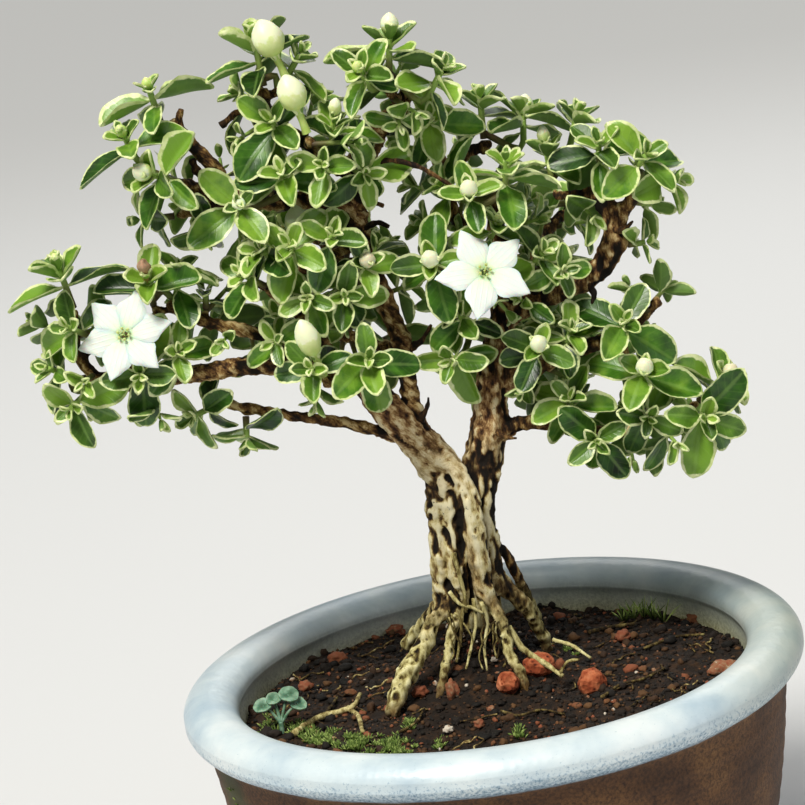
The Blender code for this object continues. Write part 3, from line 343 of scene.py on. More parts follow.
LAMPS = (
    ("key", "AREA", (-0.16, -0.22, 0.66), 2.4, "fffcf4"),
    ("fill", "AREA", (0.55, -0.30, 0.30), 0.5, "f2f6ff"),
    ("back", "AREA", (0.10, 0.55, 0.50), 0.9, "ffffff"),
    ("bright_cloud", "SUN", (-0.20, -0.34, 0.66), 2.35, "fffcf4"),
)
for name, kind, spot, strength, tint in LAMPS:
    lamp = in_scene(name, bpy.data.lights.new(name, kind))
    if kind == "AREA":
        lamp.data.size = 0.38
    else:
        lamp.data.angle = math.radians(16)
    lamp.data.energy = strength
    lamp.data.color = paint(tint)[:3]
    lamp.location = spot
    lamp.rotation_euler = (TRUNK_MIDDLE - Vector(spot)).to_track_quat("-Z", "Y").to_euler()

world = bpy.data.worlds.new("studio")
world.use_nodes = True
world.node_tree.nodes["Background"].inputs["Color"].default_value = paint("eef1f4")
world.node_tree.nodes["Background"].inputs["Strength"].default_value = 0.14
SCENE.world = world
SCENE.view_settings.view_transform = "Standard"

floor_skin, floor_shader = new_skin("studio_floor_paint", Roughness=0.9, Specular_IOR_Level=0.1)
floor_grain = add(floor_skin, "TexNoise", {"Scale": 3.0, "Detail": 2.0}).outputs["Fac"]
join(floor_skin, floor_shader, Base_Color=ramp(floor_grain, (0.3, "d9dadb"), (0.7, "dfe0e0")))
floor_mesh = bpy.data.meshes.new("floor")
floor_mesh.from_pydata([(-6, -3, 0), (6, -3, 0), (6, 9, 0), (-6, 9, 0)], [], [(0, 1, 2, 3)])
floor_mesh.materials.append(floor_skin)
floor = in_scene("floor", floor_mesh)
print("camera lens", round(camera.data.lens, 1), "mm, lamps", len(LAMPS))

# %% [markdown]
# ## Turned and swept shapes
# Most of a plant is either swept along a line, as a stem or a root is, or turned round one, as a bud is. The
# tube keeps its frame as it goes, so its sides don't twist, which also makes its corners fall on the CAD
# stems' corners. The turned form may have folds round it, as a closed bud has.

# %% Tube and turned form
def round_steps(count, start=0.0):
    """Cosine and sine of even steps round a circle."""
    angles = [math.tau * (k + start) / count for k in range(count)]
    return [(math.cos(angle), math.sin(angle)) for angle in angles]


def tube(points, radii, sides, side=None):
    """Points and faces of a closed tube swept through the points."""
    rings = []
    for i, point in enumerate(points):
        ahead = (points[min(i + 1, len(points) - 1)] - points[max(i - 1, 0)]).normalized()
        if side is None:
            side = ahead.orthogonal().normalized()
        side = (side - ahead * side.dot(ahead)).normalized()
        across = ahead.cross(side)
        rings += [point + (side * c + across * s) * radii[i] for c, s in round_steps(sides)]
    return rings + [points[0], points[-1]], tube_faces(len(points), sides)


def tube_faces(rows, sides):
    """Faces between rings of points that follow each other, with a fan over each end."""
    k = np.arange(sides)
    after = (k + 1) % sides
    faces = []
    for i in range(rows - 1):
        a = i * sides
        faces.append(np.stack([a + k, a + after, a + sides + after, a + sides + k], 1))
    first, last = rows * sides, rows * sides + 1
    end = (rows - 1) * sides
    faces.append(np.stack([after, k, np.full(sides, first), np.full(sides, -1)], 1))
    faces.append(np.stack([end + k, end + after, np.full(sides, last), np.full(sides, -1)], 1))
    return np.concatenate(faces)


def turned(profile, foot, facing, sides, folds=0, depth=0.0, twist=0.0):
    """Points and faces of a turned form from (distance along, radius) rows, with folds round it if asked."""
    side = facing.orthogonal().normalized()
    across = facing.cross(side)
    angles = np.arange(sides) * math.tau / sides
    points = []
    for along, radius in profile:
        swell = radius * (1 + depth * np.cos(folds * (angles + twist * along)))
        ring = np.outer(swell * np.cos(angles), side) + np.outer(swell * np.sin(angles), across)
        points.append(ring + np.array(foot + facing * along))
    ends = [foot + facing * profile[0][0], foot + facing * profile[-1][0]]
    return np.concatenate(points + [np.array(ends)]), tube_faces(len(profile), sides)


def smooth_line(points, radii, steps):
    """A rounder line through the same points, by a curve that passes through each of them."""
    rows = [Vector((*p, r)) for p, r in zip(points, radii)]
    rows = [rows[0] * 2 - rows[1]] + rows + [rows[-1] * 2 - rows[-2]]
    line = []
    for a, b, c, d in zip(rows, rows[1:], rows[2:], rows[3:]):
        for step in range(steps):
            t = step / steps
            line.append((b * 2 + (c - a) * t + (a * 2 - b * 5 + c * 4 - d) * t ** 2
                         + (b * 3 - a - c * 3 + d) * t ** 3) / 2)
    line.append(rows[-2])
    return [row.xyz for row in line], [max(row.w, 0.02) for row in line]


print("a ring of 8 has", len(tube_faces(2, 8)), "faces with its ends")

# %% [markdown]
# ## The pot
# The pot is thrown stoneware: a steep bowl with a thick rolled rim. A lathe from a few measured heights is
# what throwing is, so its wall is a profile turned round the axis, in steps of under a millimetre. Shallow
# throwing rings and a slight wander of the radius keep it hand made.

# %% Lathe the pot
POT_STEPS = 200
RIM_MIDDLE = 40.5
RIM_HALF_WIDTH = 4.0
RIM_HALF_HEIGHT = 3.1
DRAIN_RADIUS = 2.6
DRAIN_CIRCLE = 13.0
DRAIN_COUNT = 3
FLOOR_THICKNESS = 6.5

pot_low, pot_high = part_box("pot")
pot_reach = min(pot_high.x, pot_high.y, -pot_low.x, -pot_low.y) * PER_MM
OUTSIDE = ((28.5, 0.0), (28.9, 0.5), (29.4, 1.8), (30.6, 4.6), (33.4, 9.5), (36.2, 16.5), (38.4, 24.0),
           (40.2, 33.0), (41.1, 39.0), (41.6, 42.6), (42.1, 43.9))
INSIDE = ((36.9, 45.4), (36.6, 42.0), (35.6, 33.0), (32.8, 18.0), (29.8, 12.0), (26.0, 8.5), (20.0, 6.5))


def between(rows, gap):
    """Rows of numbers with more of them put in, so that no step is longer than the gap."""
    dense = [np.array(rows[0], float)]
    for row in rows[1:]:
        start, end = dense[-1], np.array(row, float)
        count = max(1, math.ceil(np.linalg.norm(end - start) / gap))
        dense += [start + (end - start) * (i + 1) / count for i in range(count)]
    return dense


rim = [(RIM_MIDDLE + RIM_HALF_WIDTH * math.cos(math.radians(a)),
        RIM_LEVEL + RIM_HALF_HEIGHT * math.sin(math.radians(a))) for a in range(-44, 186, 6)]
curve, _ = smooth_line([Vector((r, 0, z)) for r, z in OUTSIDE + tuple(rim) + INSIDE],
                       [1.0] * (len(OUTSIDE) + len(rim) + len(INSIDE)), 4)
wall = between([(p.x, max(p.z, 0.0)) for p in curve], 0.9)

pot_points = []
for radius, z in wall:
    for c, s in round_steps(POT_STEPS):
        turn = Vector((c, s, 0))
        wander = 0.10 * noise.noise(turn * 1.3 + Vector((0, 0, z * 0.05)))
        ring = 0.05 * math.sin(z * 2.4 + 1.5 * noise.noise(turn)) if 3 < z < 42 else 0.0
        reach = min(radius + wander + ring, pot_reach)
        pot_points.append((reach * turn.x, reach * turn.y, z))
pot_points += [(0, 0, 0), (0, 0, FLOOR_THICKNESS)]
pot_pile = Pile()
pot_pile.add(pot_points, tube_faces(len(wall), POT_STEPS))
print("pot profile rows", len(wall), "reach", round(pot_reach, 2), "mm")

# %% [markdown]
# ## Glaze and bare clay
# The rim wears a thick stoneware glaze, tin white with a breath of cobalt: glossy, and broken into grey-blue
# freckles where it thins and runs. Below it is bare brown stoneware, gritty and matt, and the inner wall is
# stained olive by algae. One finish holds them all, split by height and by distance from the axis, so that
# the glaze's edge can wander. Ceramic glaze has an IOR near 1.5 and a roughness of about 0.3.

# %% Pot finish
GLAZE_EDGE = 44.2
WALL_TUFT = Vector((-38.2, -14.7, 39.4))

pot_skin, pot_shader = new_skin("tin_glazed_stoneware", IOR=1.52)
where = on_object(pot_skin)
axes = add(pot_skin, "SeparateXYZ", {"Vector": where}).outputs
level = add(pot_skin, "CombineXYZ", {"X": axes["X"], "Y": axes["Y"]}).outputs[0]
distance = add(pot_skin, "VectorMath", {0: level}, operation="LENGTH").outputs["Value"]
clouds = clouds_of(where, 9.0)
freckles = clouds_of(where, 0.42, 3.0, 0.7)
grit = clouds_of(where, 0.5, 6.0, 0.75)
specks = cells_of(where, 1.1)

# The glaze: white crest, cool freckles that thicken towards the lower edge
crest = fade(axes["Z"], 0.0442, 0.0482)
freckle_share = scaled(crest, 0.34, freckles)
glaze = ramp(clouds, (0.30, "b3c6d2"), (0.52, "d0dde2"), (0.75, "e6ecec"))
freckled = ramp(freckle_share, (0.38, "3f4c58"), (0.46, "8da3b5"), (0.56, "bccddb"),
                (0.70, "ffffff"))
glaze = blend(fade(distance, 0.0395, 0.0425), glaze, freckled, "MULTIPLY")

# The bare clay: rust and umber clouds, pale and dark grit
clay = ramp(clouds, (0.28, "472b14"), (0.48, "6a4726"), (0.70, "866037"))
clay_grit = ramp(grit, (0.34, "6b625c"), (0.46, "b8b0aa"), (0.56, "e8e2dc"), (0.72, "ffffff"))
clay = blend(1.0, clay, clay_grit, "MULTIPLY")

# A green film on the clay round the tuft of moss
off_tuft = add(pot_skin, "VectorMath", {0: where, 1: WALL_TUFT * MM}, operation="DISTANCE").outputs["Value"]
green_film = fade(scaled(clouds, 0.008, off_tuft), 0.011, 0.005, 0.0, 0.8)
clay = blend(green_film, clay, paint("3d451c"))

# The stain inside the rim: olive, darker towards the soil
stain_share = fade(scaled(clouds, 0.0030, axes["Z"]), 0.0496, 0.0440)
above_soil = fade(axes["Z"], 0.036, 0.038)
inside = scaled(fade(distance, 0.0392, 0.0380), above_soil)
stain_share = scaled(stain_share, inside)
glaze = blend(stain_share, glaze, ramp(freckles, (0.35, "8f8a5e"), (0.65, "d6d4ae")))

# Painted shade: the right end of the rim is darkened, as it lies in shade
right_rim_shade = fade(axes["X"], 0.026, 0.043, 0.0, 0.85)
glaze = blend(right_rim_shade, glaze, paint("c3c5b4"), "MULTIPLY")

# Where the glaze ends, its edge wanders by half a millimetre
edge = scaled(clouds, 0.0016, axes["Z"])
glazed = fade(edge, GLAZE_EDGE * MM + 0.0006, GLAZE_EDGE * MM + 0.0010)
glazed = add(pot_skin, "Math", {0: glazed, 1: inside}, operation="MAXIMUM").outputs[0]
shine = scaled(stain_share, 0.35, fade(glazed, 0.0, 1.0, 0.78, 0.33), use_clamp=True)
relief = add(pot_skin, "Mix", {0: glazed, 2: grit, 3: specks}, data_type="FLOAT").outputs[0]
join(pot_skin, pot_shader, Base_Color=blend(glazed, clay, glaze), Roughness=shine,
     Normal=bumpy(relief, 0.06, 0.7))
print("glaze ends", GLAZE_EDGE, "mm up")

# %% [markdown]
# ## Drain holes
# The three holes in the foot were pushed through the soft clay with a round tool. One Boolean cuts three
# plain cylinders from the closed pot and leaves it closed, with clean round edges. The cut is applied at once
# and the cylinders are removed, so that only the pot is left.

# %% Cut the drain holes and place the pot
def result_of(thing):
    """A new mesh of an object as its modifiers leave it."""
    return bpy.data.meshes.new_from_object(thing.evaluated_get(bpy.context.evaluated_depsgraph_get()))


def cut(mesh, cutters):
    """The mesh with the closed shapes of a pile cut from it."""
    target = in_scene("target", mesh)
    tool = in_scene("tool", cutters)
    change = target.modifiers.new("holes", "BOOLEAN")
    change.operation = "DIFFERENCE"
    change.solver = "EXACT"
    change.object = tool
    result = result_of(target)
    bpy.data.objects.remove(target)
    bpy.data.objects.remove(tool)
    return result


drains = Pile()
for c, s in round_steps(DRAIN_COUNT, 0.25):
    foot = Vector((DRAIN_CIRCLE * c, DRAIN_CIRCLE * s, -2))
    drains.add(*turned(((0, DRAIN_RADIUS), (FLOOR_THICKNESS + 4, DRAIN_RADIUS)), foot, Vector((0, 0, 1)), 48))
pot_mesh = cut(pot_pile.mesh("glazed_pot", [pot_skin]), drains.mesh("drains", [pot_skin]))
pot_mesh.shade_smooth()
pot_mesh.set_sharp_from_angle(angle=math.radians(40))
pot = place("glazed_pot", pot_mesh, "pot", ["pot"])
print("pot faces", len(pot.data.polygons))

# %% [markdown]
# ## Rounding the wood
# The trunk of an old bonsai is several stems and roots that have grown into each other. The CAD tree is those
# stems as plain tubes with flat sides. Remeshing a copy by voxels of a third of a millimetre makes one even
# skin, and letting each point drift towards its neighbours rounds the flats and fills the joints. What the
# drift took off thin twigs is put back along the normals.

# %% Remesh the tree and round it
VOXEL = 0.33
ROUNDING_STEPS = 7
FLUTE_STEPS = 45
FLUTE_DEPTH = 0.8


def numbers(items, name, width, kind=float):
    """What a mesh keeps under this name for its points, corners or edges, in rows as wide as the width."""
    values = np.empty(len(items) * width, kind)
    items.foreach_get(name, values)
    return values.reshape(-1, width)


def remeshed(node, voxel):
    """Points in millimetres, quads and edges of an even skin over a copy of a CAD node's mesh."""
    source = in_scene("copy", nodes[node].data.copy())
    whole = bmesh.new()
    whole.from_mesh(source.data)
    bmesh.ops.remove_doubles(whole, verts=whole.verts, dist=1e-6)
    whole.to_mesh(source.data)
    whole.free()
    change = source.modifiers.new("skin", "REMESH")
    change.mode = "VOXEL"
    change.voxel_size = voxel * MM
    skin = result_of(source)
    bpy.data.objects.remove(source)
    quads = numbers(skin.loops, "vertex_index", 1, int).reshape(-1, 4)
    return numbers(skin.vertices, "co", 3) / MM, quads, numbers(skin.edges, "vertices", 2, int)


def relaxed(values, edges, steps, share=0.5):
    """Values at points, each moved towards the mean of its neighbours, step by step."""
    values = np.array(values, float).reshape(len(values), -1)
    ends = np.concatenate([edges, edges[:, ::-1]])
    count = np.bincount(ends[:, 0], minlength=len(values))[:, None]
    for _ in range(steps):
        total = [np.bincount(ends[:, 0], column[ends[:, 1]], len(values)) for column in values.T]
        values = values + share * (np.stack(total, 1) / count - values)
    return values


def normals_of(points, quads):
    """Unit normals at points, from the diagonals of the quads round them."""
    across = np.cross(points[quads[:, 2]] - points[quads[:, 0]], points[quads[:, 3]] - points[quads[:, 1]])
    total = [sum(np.bincount(quads[:, c], axis, len(points)) for c in range(4)) for axis in across.T]
    total = np.stack(total, 1)
    return total / np.maximum(np.linalg.norm(total, axis=1, keepdims=True), 1e-9)


flat_sided, wood_quads, wood_edges = remeshed("trunk_and_branches", VOXEL)
wood_points = relaxed(flat_sided, wood_edges, ROUNDING_STEPS)
wood_normals = normals_of(wood_points, wood_quads)
shrunk = np.einsum("ij,ij->i", flat_sided - wood_points, wood_normals)
wood_points += wood_normals * np.clip(0.55 * relaxed(shrunk, wood_edges, 12) + 0.14, 0.0, 0.34)
broad = relaxed(wood_points, wood_edges, FLUTE_STEPS) - wood_points
valley = relaxed(np.clip(np.einsum("ij,ij->i", broad, wood_normals), 0.0, 0.9), wood_edges, 2)
ridge = relaxed(np.clip(-np.einsum("ij,ij->i", broad, wood_normals), 0.0, 1.2), wood_edges, 2)[:, 0]
wood_points -= wood_normals * valley * FLUTE_DEPTH
print("wood quads", len(wood_quads), "mean shrinkage", round(float(shrunk.mean()), 3), "mm, flutes up to",
      round(float(valley.max()) * FLUTE_DEPTH, 2), "mm")

# %% [markdown]
# ## Bark
# Old bark is cream on the cords, where it is rubbed smooth, and breaks into long flakes beside them, with
# dark ground between. The flakes are real relief, because light has to catch their edges. How thick the wood
# is, found by looking straight through it, says whether it is old. How far a point lies below its
# surroundings says where shade is painted into the bark's colour. All of these are kept as marks.

# %% Carve the bark
ROOT_TOP = 58.0
EARTH_TOP = 54.0
FORK = at(66.5, 68.0, 0.0)
LIMB_LEAN = math.radians(42)

# Lines (u, v) on the sheet where a cord stands out, cream, or sinks in, dark: half width in mm and how much
CORDS = (
    (((65.0, 66.4), (66.7, 71.9), (67.7, 76.5), (68.6, 80.0), (68.4, 83.5), (70.4, 85.8)), 1.3, 0.60),
    (((63.3, 69.8), (64.1, 73.4)), 1.0, 0.5),
    (((62.2, 71.4), (63.1, 75.5), (63.7, 79.4), (64.3, 82.4)), 0.55, 0.5),
    (((55.0, 58.0), (59.0, 62.4), (63.4, 67.4)), 1.1, 0.35),
    (((65.8, 73.0), (66.0, 78.0), (66.4, 84.0)), 0.7, -0.5),
    (((70.6, 70.0), (71.4, 76.0), (72.0, 81.0)), 0.6, -0.4),
)


def cord_stand(points):
    """How far the cords on the front of the trunk stand out or sink in at each point, in millimetres."""
    front = np.flatnonzero((points[:, 1] < 5) & (points[:, 2] < 90))
    seen = np.array([seen_at(point) for point in points[front]])
    stand = np.zeros(len(points))
    for spots, half_width, gain in CORDS:
        nearest = np.full(len(front), 99.0)
        for a, b in zip(np.array(spots), np.array(spots)[1:]):
            share = np.clip((seen - a) @ (b - a) / ((b - a) @ (b - a)), 0, 1)
            nearest = np.minimum(nearest, np.linalg.norm(seen - a - share[:, None] * (b - a), axis=1))
        stand[front] += gain * np.exp(-(nearest / half_width) ** 2)
    return stand


def through(points, quads, normals, longest=14.0):
    """How thick the wood is under each point, in millimetres."""
    tree = BVHTree.FromPolygons(points.tolist(), quads.tolist())
    found = np.empty(len(points))
    for i, (point, normal) in enumerate(zip(points.tolist(), normals.tolist())):
        inward = -Vector(normal)
        hit = tree.ray_cast(Vector(point) + inward * 0.05, inward, longest)
        found[i] = hit[3] if hit[3] is not None else longest
    return found


def along_grain(point):
    """The same place with the left limb turned upright about the fork, so that its grain runs along it."""
    x, y, z = point
    right, up = x - FORK.x, z - FORK.z
    lean = LIMB_LEAN * min(1, max(0, -right / 3)) * min(1, max(0, (up + 6) / 5))
    return (FORK.x + right * math.cos(lean) + up * math.sin(lean), y,
            FORK.z - right * math.sin(lean) + up * math.cos(lean))


def waves(point, across, up, shift=0.0):
    """Noise over a place, with one scale across the wood and another up it."""
    x, y, z = point
    return noise.noise(Vector((x * across, y * across, z * up + shift)))


def bark_relief(point, old, rooty, stand, aloft):
    """Height of the bark in mm and whether a flake lies there. stand is how far a cord stands out."""
    x, y, z = point
    sway = 1.6 * waves(point, 0.12, 0.10)
    broad_flake = noise.noise(Vector((x * 0.40 + sway, y * 0.40 - sway, z * 0.15)))
    flake = waves(point, 1.05, 0.42, 5)
    lump = waves(point, 0.42, 0.26, 4)
    knob = waves(point, 0.95, 0.75, 7)
    burr = waves(point, 1.5, 1.5, 3)
    cover = min(1.0, max(0.0, (0.75 * broad_flake + 0.55 * flake + stand) / 0.20))
    pit = max(0.0, waves(point, 1.35, 0.9, 2) - 0.34)
    height = old * (0.36 * (cover - 0.6) * (1 - 0.4 * rooty) + 0.16 * lump) + (1 - old) * 0.22 * lump
    height += (0.16 + 0.12 * (1 - old) + 0.12 * rooty + 0.10 * aloft) * knob + 0.16 * aloft * burr
    return height + 0.07 * waves(point, 2.0, 1.3) - (1.1 + rooty) * (1 - 0.7 * aloft) * pit, cover


thickness = relaxed(through(wood_points, wood_quads, wood_normals), wood_edges, 6)[:, 0]
old_wood = np.clip((thickness - 1.9) / 3.2, 0.0, 1.0)
rooty = np.clip((ROOT_TOP - wood_points[:, 2]) / 6.0, 0.0, 1.0)
earthy = np.clip((EARTH_TOP - wood_points[:, 2]) / 2.0, 0, 1) * np.clip((thickness - 3.6) / 1.2, 0, 1)
earthy = relaxed(earthy, wood_edges, 3)[:, 0]
aloft = np.clip((wood_points[:, 2] - 74) / 8, 0, 1)
cord = cord_stand(wood_points)
stand = 0.55 * ridge - 0.9 * valley[:, 0] + 0.05 + 0.26 * rooty + 0.16 * aloft + cord
soil_below = np.array([soil_height(x, y) for x, y, _ in wood_points.tolist()])
buried = np.clip(1 - (wood_points[:, 2] - soil_below - 0.4) / 2.4, 0, 1) * rooty
combed = np.array([along_grain(point) for point in wood_points.tolist()])
relief, flaky = np.array([bark_relief(*row) for row in zip(combed.tolist(), old_wood.tolist(), rooty.tolist(),
                                                           stand.tolist(), aloft.tolist())]).T
wood_points += wood_normals * (relief * np.clip(thickness / 2.2, 0.35, 1.0))[:, None]
# How far each point lies below its neighbours, where the finish paints shade
lie = relaxed(wood_points, wood_edges, 14) - wood_points
hollow = np.einsum("ij,ij->i", lie, normals_of(wood_points, wood_quads))
hollow -= relaxed(hollow, wood_edges, 40)[:, 0]
print("relief from", round(relief.min(), 2), "to", round(relief.max(), 2), "mm, thickest wood",
      round(thickness.max(), 1), "mm, share of old wood under flakes", round(flaky[old_wood > 0.5].mean(), 2))

# %% [markdown]
# ## The bark's finish
# Bark is dead cork, quite matt, with a roughness near 0.85. Trunk and roots are cream and tan on the flakes
# and dark umber between them, roots that were once underground are the palest, limbs are red brown and twigs
# darker still, partly from their own bark and partly as painted shade under the leaves. The colour follows
# the carved marks first, with painted shade in the hollows and partly in the flutes, and ragged noise of 0.5
# to 2 mm second, stretched along the trunk. Wood higher up and right of the fork is darker too: painted
# shade.

# %% Bark finish
# Noise runs three times as long along the grain as across it
GRAIN_SHARE = 0.35

bark_skin, bark_shader = new_skin("weathered_bark", Roughness=0.86, Specular_IOR_Level=0.3)
where = on_object(bark_skin)
axes = add(bark_skin, "SeparateXYZ", {"Vector": where}).outputs
right_mark, up_mark, hollow_shade_mark, old_mark, root_mark, valley_dark_and_shade = marked(
    bark_skin, "grain_right", "grain_up", "hollow", "old", "root", "valley")
earth_mark, flake_mark, buried_mark, cord_mark = marked(bark_skin, "earth", "flake", "buried", "cord")
along = add(bark_skin, "CombineXYZ", {"X": right_mark, "Y": axes["Y"], "Z": up_mark}).outputs[0]
grain = clouds_of(along, 0.9, 6.0, 0.75)
patches = clouds_of(along, 2.2, 8.0, 0.72, 0.5)
burrs = clouds_of(along, 1.3, 6.0, 0.75)
flecks = clouds_of(where, 0.8, 4.0, 0.7)
black_pits = fade(cells_of(where, 1.5), 0.20, 0.12, 0.0, 0.85)

# Tone: 0 is the dark ground between flakes, 1 a cream cord. Wood is darker the higher it stands: painted
# shade under the crown
low_ground = fade(axes["Z"], 0.068, 0.060)
# Painted shade: the wood right of the fork is darker
right_fork_shade = fade(axes["X"], FORK.x * MM, (FORK.x + 4) * MM)
# Painted shade: the deeper a point lies below its neighbours, the darker its tone
tone = fade(hollow_shade_mark, 0.18, -0.18, 0.0, 0.55)
# The flutes are darker partly as their own dark ground, partly as painted shade
for mark, weight in ((flake_mark, 0.42), (grain, 1.35), (patches, 1.15), (valley_dark_and_shade, -0.9),
                     (cord_mark, 0.30), (low_ground, -0.13), (right_fork_shade, -0.07)):
    tone = scaled(mark, weight, tone)
# Painted shade under the crown: the higher the wood, the darker its tone
tone = scaled(tone, 1.0, fade(axes["Z"], 0.066, 0.100, -1.28, -1.42))
speckle = scaled(tone, 1.0, scaled(burrs, 1.9, -0.99))

# Trunk, limbs and twigs. The twigs' ramp is dark partly from their own bark, partly as painted shade under
# the leaves
colour = ramp(tone, (0.06, "150e06"), (0.24, "3f2d17"), (0.38, "6f5631"), (0.50, "a28c56"),
              (0.62, "d3c48c"), (0.85, "ede3bc"))
limb_tone = ramp(speckle, (0.06, "160d06"), (0.26, "43291a"), (0.44, "74502f"), (0.58, "a47d50"),
                 (0.72, "cfb280"), (0.90, "ead9b0"))
young_tone = ramp(speckle, (0.06, "120b05"), (0.30, "38240f"), (0.48, "694926"), (0.66, "a08049"),
                  (0.86, "d6be88"))
colour = blend(fade(axes["Z"], 0.071, 0.083), colour, limb_tone)
colour = blend(old_mark, young_tone, colour)

# Roots: pale, with black pits, soiled where they go into the ground
root_tone = ramp(tone, (0.04, "171007"), (0.22, "463716"), (0.37, "7c6e3c"), (0.51, "b3a86e"),
                 (0.66, "d6cc92"), (0.85, "ece5b2"))
root_tone = blend(black_pits, root_tone, paint("1f1508"))
soiled = ramp(patches, (0.36, "24170a"), (0.50, "5f4320"), (0.64, "93703c"))
root_tone = blend(scaled(buried_mark, 0.9), root_tone, soiled)
colour = blend(root_mark, colour, root_tone)
dark_flecks = ramp(flecks, (0.31, "2a2014"), (0.38, "ffffff"))
colour = blend(0.8, colour, dark_flecks, "MULTIPLY")
earth_tone = ramp(flecks, (0.30, "0f0a06"), (0.50, "2b1d13"), (0.70, "5a4030"))
join(bark_skin, bark_shader, Base_Color=blend(earth_mark, colour, earth_tone),
     Normal=bumpy(grain, 0.25, 0.9))
print("bark finish in", len(bark_skin.node_tree.nodes), "nodes")

# %% [markdown]
# ## The tree in the scene
# The carved skin is one piece that stands for the CAD tree, and everything measured on it goes along as
# marks. The grain's own coordinates are two of them, so that the finish's noise can run along the wood and
# bend with it into the left limb.

# %% Place the tree
wood_pile = Pile()
wood_pile.add(wood_points, wood_quads, hollow=hollow, valley=valley[:, 0], old=old_wood, root=rooty,
              earth=earthy, flake=flaky, buried=buried, cord=cord, grain_right=combed[:, 0] * MM,
              grain_up=combed[:, 2] * GRAIN_SHARE * MM)
wood = place("trunk_and_branches_bark", wood_pile.mesh("trunk_and_branches_bark", [bark_skin]), "bark",
             ["trunk_and_branches"])
print("wood triangles", 2 * len(wood.data.polygons))

# %% [markdown]
# ## Where each leaf sits
# The leaves grow in opposite pairs, each pair at a right angle to the last, so a shoot is a table: where each
# tuft is, which way it grows, how long its pairs are and what bud it ends in. This is the CAD source's own
# table and rule. The source tried several small turns for each leaf until it was clear of its neighbours, so
# the turns are listed here too.

